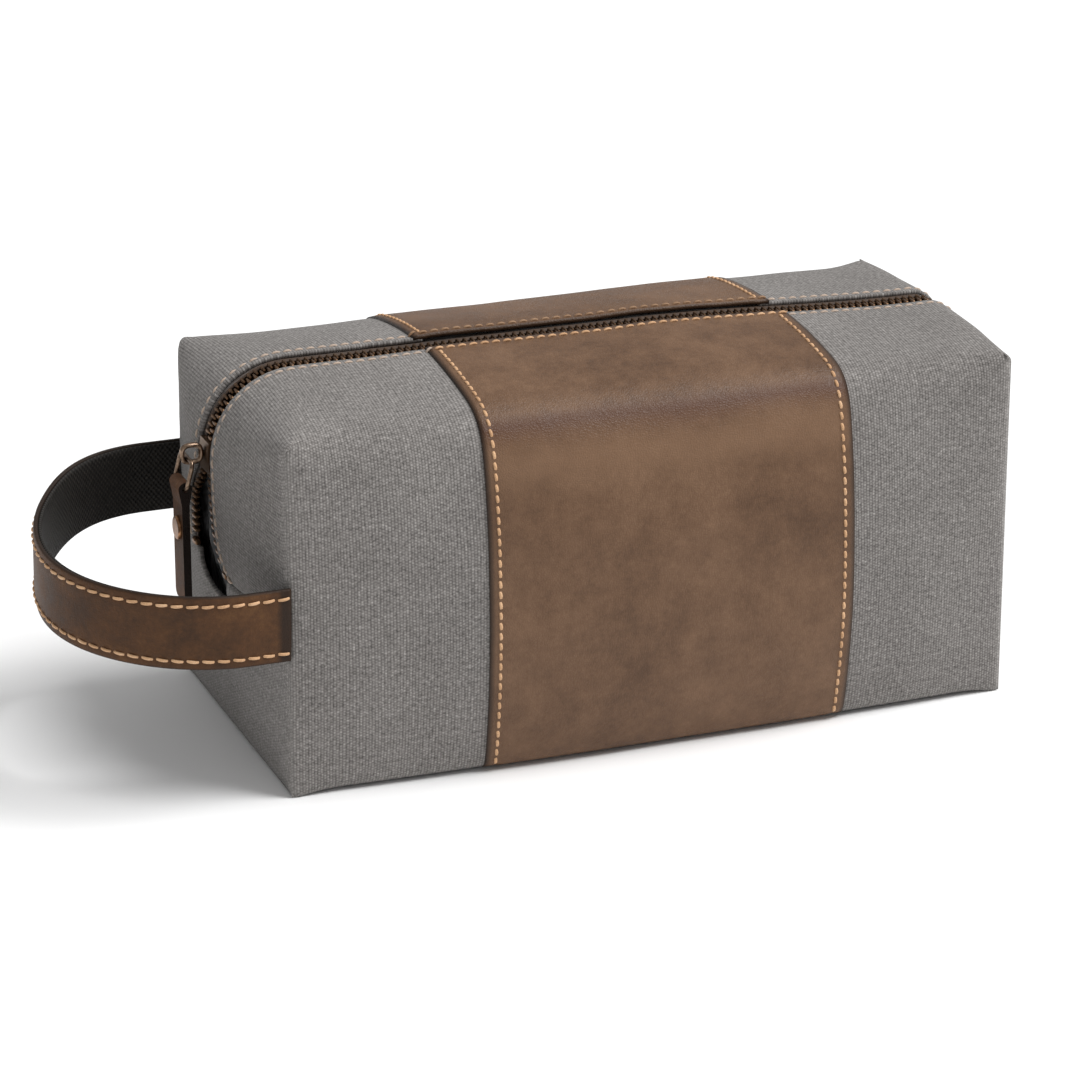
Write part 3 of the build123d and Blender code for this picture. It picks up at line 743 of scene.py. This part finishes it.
def leather_band(side):
    """The leather on one side: half the base, the wall and the top, standing on the canvas."""
    xs = np.linspace(-BAND["left"] - LEATHER_LAP, BAND["right"] + LEATHER_LAP, LEATHER_COLUMNS)
    columns = []
    for x in xs:
        end = "left" if x < 0 else "right"
        column = wrap_grid(end, side, abs(x), 1.0, 2, 0.0, SKIN_EDGE)[0]
        column[:, 0] = x
        columns.append(column)
    grid = np.stack(columns)
    up = fold_height(grid)
    rim = np.minimum(grid[..., 0] - xs[0], xs[-1] - grid[..., 0])
    unrolled = np.stack([grid[..., 0], 0 * up, up], -1).reshape(-1, 3)
    wander = field(unrolled, 30.0, 2.2).reshape(up.shape)
    # Painted shade: a dark band just under the top fold, where the leather turns from the top down
    # the wall.
    dark = np.exp(-(((up + 3.0 + 1.2 * wander) / 4.5) ** 2)) * 0.85
    # Painted sheen: a lighter band about 15 mm below the top fold.
    light = np.exp(-(((up + 15.0 + 2.0 * wander) / 7.0) ** 2)) * 0.62
    edge = 0.75 * np.exp(-rim / 0.45) + 0.18 * np.exp(-rim / 3.0)
    edge = edge + 0.5 * np.exp(-(np.abs(grid[..., 1]) - SKIN_EDGE) / 0.5) * (up > 0)
    shell = Shell()
    layers = {"painted_fold_shade": dark, "painted_fold_sheen": light, "edge": np.clip(edge, 0, 1)}
    shell.add(grid, SIDES[side] > 0, **layers)
    obj = shell.build(f"leather_{side}", [LEATHER])
    outward(obj)
    co, n = points(obj), normals(obj)
    moved = pucker(co, n)
    rim = np.minimum(co[:, 0] - xs[0], xs[-1] - co[:, 0])
    stitched = 0.35 * np.exp(-(((rim - BAND_STITCH) / 1.1) ** 2))
    lift = LEATHER_LIFT * smoothstep(0.0, 3.0, co[:, 2]) * (1 - 0.35 * np.exp(-rim / 0.5))
    lift = lift - stitched
    put(obj, moved + n * lift[:, None])
    thicken(obj, SKIN)
    to_flap(obj)
    parts = ("leather_panel", "top_leather", "padding", "top_padding")
    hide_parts(*[f"{side}_{part}" for part in parts])


def lining_shell(side):
    """The lining of one side, all its length, loosely held."""
    shell = Shell()
    for end in ENDS:
        wrap = wrap_grid(end, side, 0.0, 1.0, 40, LINING_DEPTH, LINING_EDGE)
        corner = corner_grid(end, side, wrap[-1, -TOP_ROWS:], LINING_DEPTH, LINING_EDGE)
        near_zip = smoothstep(10.0, 0.0, np.abs(wrap[..., 1]) - LINING_EDGE)
        lifted = wrap.copy()
        lifted[..., 2] += near_zip * (fold_height(wrap) > 8) * 1.9
        flip = (ENDS[end][0] * SIDES[side]) > 0
        shell.add(lifted, flip)
        shell.add(corner, flip)
    obj = shell.build(f"lining_{side}", [LINING], 0.3)
    outward(obj)
    co, n = points(obj), normals(obj)
    upright = co * np.array([1.0, 1.0, 0.35])
    loose = 0.9 * field(co, 21.0, 1.3) + 0.5 * field(upright, 7.0, 6.6)
    put(obj, co - n * (0.5 + np.abs(loose))[:, None])
    thicken(obj, LINING_CLOTH)
    to_flap(obj)
    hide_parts(f"{side}_top_lining")
    return obj


def lower_lining(end):
    """An end's lining below its cross seam."""
    shell = Shell()
    shell.add(lower_end_grid(end, LINING_DEPTH))
    obj = shell.build(f"lining_{end}_lower", [LINING])
    outward(obj)
    co, n = points(obj), normals(obj)
    put(obj, co - n * (0.5 + np.abs(0.9 * field(co, 17.0, 4.1)))[:, None])
    thicken(obj, LINING_CLOTH)
    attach(obj, "bag")


for one_end in ENDS:
    for one_side in SIDES:
        canvas_quarter(one_end, one_side)
    lower_end(one_end)
for one_side in SIDES:
    leather_band(one_side)
front_lining, _ = [lining_shell(one_side) for one_side in SIDES]
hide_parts("body_lining", "base_padding", "base_board", "base_leather_panel")
for one_end in ENDS:
    lower_lining(one_end)


# ---- The zip ----

# The teeth's middle line: up the left end, round its corner, along the top, down the right end.
CHAIN_DEPTH = 1.8
CHAIN_RADIUS, CORNER_X, CORNER_Z = 28.2, -107.9, 100.0
RIGHT_CHAIN_RADIUS, RIGHT_CORNER_X, RIGHT_CORNER_Z = 8.2, 121.9, 116.4
QUARTER = math.pi / 2
RUNS = [
    CORNER_Z - MOUTH_LOW, CHAIN_RADIUS * QUARTER, RIGHT_CORNER_X - CORNER_X,
    RIGHT_CHAIN_RADIUS * QUARTER, RIGHT_CORNER_Z - MOUTH_LOW,
]
ZIP_LENGTH = sum(RUNS)
PITCH = 2.54  # from one tooth to the next on the same side
STOP = 1.3  # how far a stop is from the zip's end
FIRST_TOOTH = 2.4 + PITCH


def lean(end, z):
    """How fast an end leans outwards with height."""
    return float(end_x(end, 0.0, z + 0.5, 0.0) - end_x(end, 0.0, z - 0.5, 0.0))


def chain_frame(along):
    """The middle of the zip at a distance from its left end, and the direction it runs in."""
    if along < RUNS[0]:
        z = CORNER_Z - (RUNS[0] - along)
        return -float(end_x("left", 0.0, z, CHAIN_DEPTH)), z, -lean("left", z)
    along -= RUNS[0]
    if along < RUNS[1]:
        a = along / CHAIN_RADIUS
        return CORNER_X - CHAIN_RADIUS * math.cos(a), CORNER_Z + CHAIN_RADIUS * math.sin(a), a
    along -= RUNS[1]
    if along < RUNS[2]:
        x = CORNER_X + along
        return x, HEIGHT + float(crown(x)) - CHAIN_DEPTH, QUARTER
    along -= RUNS[2]
    if along < RUNS[3]:
        a = along / RIGHT_CHAIN_RADIUS
        x = RIGHT_CORNER_X + RIGHT_CHAIN_RADIUS * math.sin(a)
        return x, RIGHT_CORNER_Z + RIGHT_CHAIN_RADIUS * math.cos(a), QUARTER + a
    along -= RUNS[3]
    z = RIGHT_CORNER_Z - along
    return float(end_x("right", 0.0, z, CHAIN_DEPTH)), z, math.pi + lean("right", z)


def outwards(turn):
    """The direction out of the bag where the zip runs in this direction."""
    return np.array([-math.cos(turn), 0.0, math.sin(turn)])


def tape_strip(side):
    """One side's zip tape, all its length, under the canvas edge."""
    shell = Shell()
    outer = TAPE_EDGE + TAPE_WIDTH
    for end, (sign, _, _, _) in ENDS.items():
        y = np.linspace(outer, TAPE_EDGE, 10)[None, :]
        t = np.linspace(0, 1, 60)[:, None]
        start = end_x(end, y, HIGH_ABOVE, TAPE_DEPTH) - radius(end, y, TAPE_DEPTH)
        x = lerp(0.0, start, t)
        z = top_z(y, TAPE_DEPTH, crown(sign * x))
        top = np.stack([sign * x, SIDES[side] * y + 0 * x, z], -1)
        corner = corner_grid(end, side, top[-1], TAPE_DEPTH, TAPE_EDGE, outer)
        flip = (sign * SIDES[side]) > 0
        shell.add(top, flip)
        shell.add(corner, flip)
    obj = shell.build(f"zip_tape_{side}", [TAPE_CLOTH])
    outward(obj)
    thicken(obj, TAPE)
    to_flap(obj)
    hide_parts(*[f"zip_tape_{side}_{part}" for part in ("left", "top", "right")])


# A tooth's sections: how far across, half its size along the zip, half its height.
TOOTH = [
    (3.35, 0.42, 0.85), (3.15, 0.60, 1.12), (1.55, 0.62, 1.15), (0.95, 0.44, 1.10),
    (0.30, 0.42, 1.05), (-0.10, 0.50, 1.00), (-0.48, 0.44, 0.88), (-0.62, 0.24, 0.55),
]
OCTAGON = [
    (1, 0.55), (0.55, 1), (-0.55, 1), (-1, 0.55), (-1, -0.55), (-0.55, -1), (0.55, -1), (1, -0.55)
]


def teeth_row(side):
    """One row of teeth with its two stops, each turned to follow the zip, in one mesh."""
    sign = SIDES[side]
    verts, faces, share = [], [], []
    first = FIRST_TOOTH + (PITCH / 2 if side == "back" else 0.0)
    count = int((ZIP_LENGTH - 2 * FIRST_TOOTH) / PITCH)
    places = [(first + k * PITCH, 1.0) for k in range(count)]
    for along, longer in [(STOP, 2.0), *places, (ZIP_LENGTH - STOP, 2.0)]:
        x, z, turn = chain_frame(along)
        run = np.array([math.sin(turn), 0.0, math.cos(turn)])
        out = outwards(turn)
        spread = float(mouth(z, side)) if along < RUNS[0] else 0.0
        centre = np.array([x, sign * spread, z])
        start = len(verts)
        for across, half_along, half_high in TOOTH:
            for a, b in OCTAGON:
                place = centre + run * a * half_along * longer + out * b * half_high
                verts.append(place + np.array([0.0, sign * across, 0.0]))
        tooth = tube_faces(start, len(TOOTH), len(OCTAGON))
        faces += tooth if sign > 0 else [face[::-1] for face in tooth]
        share += [float(flap_share(centre))] * (len(verts) - start)
    obj = make(f"zip_teeth_{side}", verts, faces, [ZIP_METAL], smooth=False)
    to_flap(obj, np.array(share))
    runs = [f"zip_teeth_{side}_{part}" for part in ("left", "top", "right")]
    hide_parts("zip_stops", *runs)


FOLD_BELOW, FOLD_ABOVE = 19.0, 2.0  # how far the slack lining reaches past the mouth


def mouth_fold():
    """The slack lining that shows in the open mouth, in loose upright folds."""
    z = np.linspace(MOUTH_LOW - FOLD_BELOW, MOUTH_TOP + FOLD_ABOVE, 76)[None, :]
    t = np.linspace(-1, 1, 90)[:, None]
    height = np.clip(z, MOUTH_LOW, MOUTH_TOP)
    spread = np.where(t < 0, mouth(height, "front"), mouth(height, "back"))
    y = t * (LINING_EDGE + 2.0 + spread)
    ridge = 1.7 * np.sin(2.1 * y / 3.1 + 0.045 * z) + 0.9 * np.sin(y / 1.35 - 0.06 * z)
    ridge = ridge * smoothstep(MOUTH_TOP + FOLD_ABOVE, MOUTH_TOP - 14, z)
    depth = 8.0 - 2.6 * np.abs(t) ** 2 + 0 * z
    x = depth - ridge - end_x("left", y, np.clip(z, 0, 99.0), 0.0)
    shell = Shell()
    shell.add(np.stack([x, y, z + 0 * y], -1))
    obj = shell.build("lining_mouth_fold", [LINING])
    co, n = points(obj), normals(obj)
    put(obj, co + n * (0.5 * field(co, 6.0, 8.8))[:, None])
    outward(obj)
    thicken(obj, LINING_CLOTH)
    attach(obj, "bag")


for one_side in SIDES:
    tape_strip(one_side)
    teeth_row(one_side)
mouth_fold()


# ---- Stitches ----


def unit(vectors):
    """Vectors of length 1, one in each row."""
    return vectors / np.linalg.norm(vectors, axis=1)[:, None]


def path_run(path):
    """The distance along a path to each of its points."""
    steps = np.linalg.norm(np.diff(path, axis=0), axis=1)
    return np.concatenate([[0.0], np.cumsum(steps)])


def at(run, path, distances):
    """The values along a path at these distances."""
    return np.stack([np.interp(distances, run, path[:, i]) for i in range(3)], 1)


# A stitch's sections: how far along it, its girth, and how far it stands off the surface.
RINGS = [
    (-0.5, 0.40, -0.75), (-0.42, 0.85, -0.05), (-0.15, 1.0, 0.50), (0.15, 1.0, 0.50),
    (0.42, 0.85, -0.05), (0.5, 0.40, -0.75),
]
THREAD_CORNERS = 8
NEAR = 0.4  # how far ahead and behind a path's direction is taken from


def stitches(name, path, ups, pitch, length, thick, slant=7.0):
    """A row of stitches on a surface: short threads whose ends dive into their holes.

    Returns the object, and for each of its points the middle of its stitch."""
    run = path_run(path)
    count = int(run[-1] / pitch)
    middles = (np.arange(count) + 0.5) * run[-1] / count
    place = at(run, path, middles)
    way = unit(at(run, path, middles + NEAR) - at(run, path, middles - NEAR))
    up = at(run, ups, middles)
    up = unit(up - way * np.sum(up * way, axis=1)[:, None])
    side = np.cross(up, way)
    angle = np.radians(slant + 3.0 * field(place, 3.0, 6.1))[:, None]
    way = way * np.cos(angle) + side * np.sin(angle)
    side = np.cross(up, way)
    verts, faces = [], []
    turns = np.linspace(0, 2 * math.pi, THREAD_CORNERS, endpoint=False)
    for c in range(count):
        faces += tube_faces(len(verts), len(RINGS), THREAD_CORNERS)
        for t, girth, lift in RINGS:
            middle = place[c] + way[c] * t * length + up[c] * lift * thick
            for a in turns:
                offset = side[c] * math.cos(a) + up[c] * 0.8 * math.sin(a)
                verts.append(middle + offset * girth * thick)
    centres = np.repeat(place, len(RINGS) * THREAD_CORNERS, axis=0)
    return make(name, verts, faces, [THREAD]), centres


def uneven(path, ups, lift):
    """Moves a path on to the real surface, which pucker and the leather's thickness have moved."""
    return path + ups * (hollows(path) * smoothstep(0.0, 7.0, path[:, 2]) + lift)[:, None]


ZIP_STITCH = 2.7  # how far from the cloth's edge the zip's stitches run
ZIP_STITCH_PITCH, ZIP_STITCH_LENGTH = 4.0, 3.3
BAND_STITCH_PITCH, BAND_STITCH_LENGTH = 3.6, 2.9
STITCH_THICK = 0.58
PATH_POINTS = 420


def on_leather(co):
    """Which points of the zip's edge lie on the leather band."""
    along = (co[:, 0] > -BAND["left"]) & (co[:, 0] < BAND["right"])
    return along & (co[:, 2] > 115)


def zip_stitches(side):
    """The row of stitches beside the zip, faded on the canvas and stained on the back leather."""
    path, ups = [], []
    for along in np.linspace(0.8, ZIP_LENGTH - 0.8, PATH_POINTS):
        x, z, turn = chain_frame(along)
        out = outwards(turn)
        spread = float(mouth(z, side)) if x < CORNER_X and z < MOUTH_TOP else 0.0
        y = SKIN_EDGE + ZIP_STITCH + spread
        bulge = CROWN * max(math.sin(turn), 0.0) + LEFT_BULGE * max(math.cos(turn), 0.0)
        drop = (1 - float(swell(y))) * bulge
        path.append(np.array([x, SIDES[side] * y, z]) + out * (CHAIN_DEPTH - drop))
        ups.append(out)
    path, ups = np.array(path), np.array(ups)
    path = uneven(path, ups, np.where(on_leather(path), 0.86, -0.12))
    row, middles = stitches(
        f"stitches_zip_{side}", path, ups, ZIP_STITCH_PITCH, ZIP_STITCH_LENGTH, STITCH_THICK
    )
    leather = on_leather(middles)
    tints = {"faded": 0.8 * ~leather, "stained": 0.7 * leather * (side == "back")}
    for key, values in tints.items():
        tint = row.data.attributes.new(key, "FLOAT", "POINT")
        tint.data.foreach_set("value", values.astype(np.float32))
    to_flap(row, flap_share(middles))


def band_stitches(end, side):
    """The stitches down one edge of the leather band."""
    x_at = BAND[end] - BAND_STITCH
    column = wrap_grid(end, side, x_at, 1.0, 2, 0.0, SKIN_EDGE)[0]
    column[:, 0] = ENDS[end][0] * x_at
    ups = unit(np.cross(np.gradient(column, axis=0), [1.0, 0, 0]))
    if ups[BASE_ROWS + 20, 1] * SIDES[side] < 0:
        ups = -ups
    keep = slice(BASE_ROWS + 1, -2)
    path = uneven(column[keep], ups[keep], 0.56)
    name = f"stitches_{end}_{side}"
    row, middles = stitches(
        name, path, ups[keep], BAND_STITCH_PITCH, BAND_STITCH_LENGTH, STITCH_THICK
    )
    to_flap(row, flap_share(middles))


for one_side in SIDES:
    zip_stitches(one_side)
    for one_end in BAND:
        band_stitches(one_end, one_side)


# ---- The wrist strap ----

STRAP_HALF = 12.7  # half its width
# Its line: straight from its roots to the start of its curve, which reaches out from there.
STRAP_ROOT, STRAP_CURVE, STRAP_SPAN, STRAP_REACH = -128.3, -142.0, 61.9, 54.3
STRAP_Z, STRAP_TILT = 65.5, math.radians(3.697)
STRAP_LIFT, STRAP_SKEW = 3.2, 2.0  # how far its back end is raised, and its curve pushed aside
STRAP_STITCH = 9.7  # how far from its middle line its stitches run
TILT_ALONG = np.array([0.0, math.cos(STRAP_TILT), math.sin(STRAP_TILT)])
TILT_UP = np.array([0.0, -math.sin(STRAP_TILT), math.cos(STRAP_TILT)])


def strap_path(inset):
    """The strap's line this far inside its outer face, front to back, and its inward directions."""
    across, reach = STRAP_SPAN - inset, STRAP_REACH - inset
    runs = np.linspace(0, 1, 14, endpoint=False)
    flat = [(lerp(STRAP_ROOT, STRAP_CURVE, t), -across) for t in runs]
    turns = np.linspace(-QUARTER, QUARTER, 120)
    bend = [(STRAP_CURVE - reach * math.cos(a), across * math.sin(a)) for a in turns]
    back = [(lerp(STRAP_CURVE, STRAP_ROOT, t), across) for t in runs[1:]] + [(STRAP_ROOT, across)]
    flat = np.array(flat + bend + back)
    way = unit(np.gradient(flat, axis=0))
    inward = np.stack([way[:, 1], -way[:, 0]], 1)
    along_x = np.array([1.0, 0.0, 0.0])
    place = np.outer(flat[:, 0], along_x) + np.outer(flat[:, 1], TILT_ALONG) + [0, 0, STRAP_Z]
    inwards = np.outer(inward[:, 0], along_x) + np.outer(inward[:, 1], TILT_ALONG)
    place[:, 2] += STRAP_LIFT * smoothstep(30.0, 62.0, place[:, 1])
    skew = STRAP_SKEW * np.sin(math.pi * place[:, 1] / STRAP_SPAN)
    place[:, 0] += skew * (place[:, 0] < STRAP_CURVE)
    return place, inwards


def ribbon(name, profile, material):
    """A strap swept round its path; the profile is (depth, height) points, closed."""
    place, inwards = strap_path(0.0)
    profile = np.array(profile)
    grid = place[:, None] + inwards[:, None] * profile[None, :, :1] + TILT_UP * profile[None, :, 1:]
    run = path_run(place)
    depth, height, along = profile[None, :, 0], profile[None, :, 1], run[:, None]
    painted = 0.9 * smoothstep(0.9, 1.3, depth) + 0.8 * smoothstep(11.9, STRAP_HALF, np.abs(height))
    root = np.minimum(along, run[-1] - along)
    # Painted shade: the last few millimetres at each root are darkened where the strap goes into
    # the seam; the rest of this layer is edge paint.
    edge = np.maximum(np.clip(painted, 0, 1), 0.86 * (1 - smoothstep(3.4, 4.4, root)))
    cloth = np.stack([along + 0 * height, height + 0 * along, 0 * (along + height)], -1)
    layers = {"edge": edge.ravel(), "cloth": cloth.reshape(-1, 3)}
    obj = make(name, grid.reshape(-1, 3), tube_faces(0, *grid.shape[:2]), [material], layers)
    face_outwards(obj)
    return obj


def to_strap(obj, co=None):
    """Reads a strap piece's points and bakes its transform into its mesh."""
    co = points(obj) if co is None else co
    blend(obj)


def face_depth(height):
    """How far in the strap's outer face is: rounded at its edges, and hollowed by its stitches."""
    groove = 0.22 * math.exp(-(((abs(height) - STRAP_STITCH) / 0.9) ** 2))
    return 0.42 * (abs(height) / STRAP_HALF) ** 10 + groove


face = [(face_depth(h), h) for h in np.linspace(-STRAP_HALF, STRAP_HALF, 41)]
face += [(1.0, STRAP_HALF + 0.12), (1.55, STRAP_HALF), (1.8, STRAP_HALF - 0.35)]
face += [(1.8, 0.0), (1.8, -STRAP_HALF + 0.35), (1.55, -STRAP_HALF), (1.0, -STRAP_HALF - 0.12)]
strap = ribbon("strap_face", face, STRAP_LEATHER)
to_strap(strap)
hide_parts("strap_leather")

WEB_HALF = 12.25  # half the webbing's width
inside = [(3.1 - 0.3 * (abs(h) / WEB_HALF) ** 8, h) for h in np.linspace(WEB_HALF, -WEB_HALF, 25)]
back_face = [(2.3, -WEB_HALF - 0.2), (1.86, -WEB_HALF + 0.1), (1.86, 0.0), (1.86, WEB_HALF - 0.1)]
back_face += [(2.3, WEB_HALF + 0.2)]
web = ribbon("strap_web", inside + back_face, WEBBING)
to_strap(web)
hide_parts("strap_webbing", "strap_tails")

strap_line, strap_in = strap_path(0.16)
for name, sign in (("upper", 1), ("lower", -1)):
    line = strap_line + TILT_UP * STRAP_STITCH * sign
    strap_row, row_middles = stitches(
        f"stitches_strap_{name}", line, -strap_in, 4.9, 4.2, 0.56, slant=5.0 * sign
    )
    to_strap(strap_row, row_middles)


# ---- Hardware, kept from the CAD ----


def dress(node, material, bevel=0.0):
    """Gives a CAD node its finish, and rounds its edges a little."""
    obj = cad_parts[node]
    obj.data.materials.clear()
    obj.data.materials.append(material)
    if bevel:
        m = obj.modifiers.new("edges", "BEVEL")
        m.width = bevel * MM
        m.segments = 3
        m.limit_method = "ANGLE"
        m.angle_limit = math.radians(40)


dress("slider_body", SLIDER_DARK, 0.28)
dress("pull_ring", SLIDER_METAL)
dress("pull_tab", TAB_LEATHER, 0.25)
dress("pull_rivet", RIVET_METAL)


BAIL_REACH, BAIL_RISE = 3.25, 2.95  # half the arch's length and height, at the wire's middle
BAIL_HALF_WIDE, BAIL_HALF_THICK = 1.15, 0.85  # half the wire's section
BAIL_POWER = 2 / 2.9  # the arch is an ellipse squared off by this power
BAIL_STATIONS, BAIL_CORNERS = 64, 16


def squared(value):
    """A sine or cosine, squared off."""
    return math.copysign(abs(value) ** BAIL_POWER, value)


def bail():
    """The slider's bail: a flattened wire bent into a rounded arch, standing on the slider."""
    low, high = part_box("slider_bail")
    middle = np.array((low + high) / 2 / MM)
    verts, faces = [], []
    for i in range(BAIL_STATIONS):
        a = 2 * math.pi * i / BAIL_STATIONS
        cx, cz = math.cos(a), math.sin(a)
        way = np.array([squared(cx) * BAIL_REACH, 0.0, squared(cz) * BAIL_RISE])
        out = np.array([cx / BAIL_REACH, 0.0, cz / BAIL_RISE])
        out /= np.linalg.norm(out)
        for j in range(BAIL_CORNERS):
            b = 2 * math.pi * j / BAIL_CORNERS
            across = np.array([0, BAIL_HALF_WIDE * math.sin(b), 0])
            verts.append(middle + way + out * BAIL_HALF_THICK * math.cos(b) + across)
            here, after = i * BAIL_CORNERS, (i + 1) % BAIL_STATIONS * BAIL_CORNERS
            k = (j + 1) % BAIL_CORNERS
            faces.append((here + j, after + j, after + k, here + k))
    obj = make("slider_arch", verts, faces, [SLIDER_METAL])
    face_outwards(obj)
    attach(obj, "slider")
    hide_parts("slider_bail")


bail()


# ---- Floor, light and camera ----

bpy.ops.mesh.primitive_plane_add(size=12.0, location=(0, 0, -0.0004))
floor = bpy.context.object
floor.name = "floor"
pale = Paint("floor").finish((0.94, 0.94, 0.94, 1.0), 0.9, Specular_IOR_Level=0.0)
floor.data.materials.append(pale)

world = bpy.data.worlds.new("studio")
world.use_nodes = True
sky = world.node_tree.nodes["Background"]
sky.inputs["Color"].default_value = (1.0, 1.0, 1.0, 1.0)
sky.inputs["Strength"].default_value = 0.42
bpy.context.scene.world = world
bpy.context.scene.view_settings.view_transform = "Standard"

sun = bpy.data.lights.new("key", "SUN")
sun.energy = 3.1
sun.angle = math.radians(34)
lamp = bpy.data.objects.new("key", sun)
lamp.rotation_euler = Vector((0.56, -0.22, 0.90)).to_track_quat("Z", "Y").to_euler()
bpy.context.scene.collection.objects.link(lamp)

# The camera, solved from the bag's corners: its direction seen from the bag, and its focal length.
azimuth, elevation = math.radians(-20.8915), math.radians(20.8087)
level = math.cos(elevation)
back = Vector((math.sin(azimuth) * level, -math.cos(azimuth) * level, math.sin(elevation)))
FOCAL_PIXELS, PICTURE_PIXELS, SENSOR = 4416.99, 1080, 36.0
camera_data = bpy.data.cameras.new("camera")
camera_data.sensor_width = SENSOR
camera_data.lens = FOCAL_PIXELS / PICTURE_PIXELS * SENSOR
camera_data.clip_end = 20.0
camera = bpy.data.objects.new("camera", camera_data)
camera.location = (-0.52397, -1.32266, 0.59243)
camera.rotation_euler = back.to_track_quat("Z", "Y").to_euler()
bpy.context.scene.collection.objects.link(camera)
bpy.context.scene.camera = camera
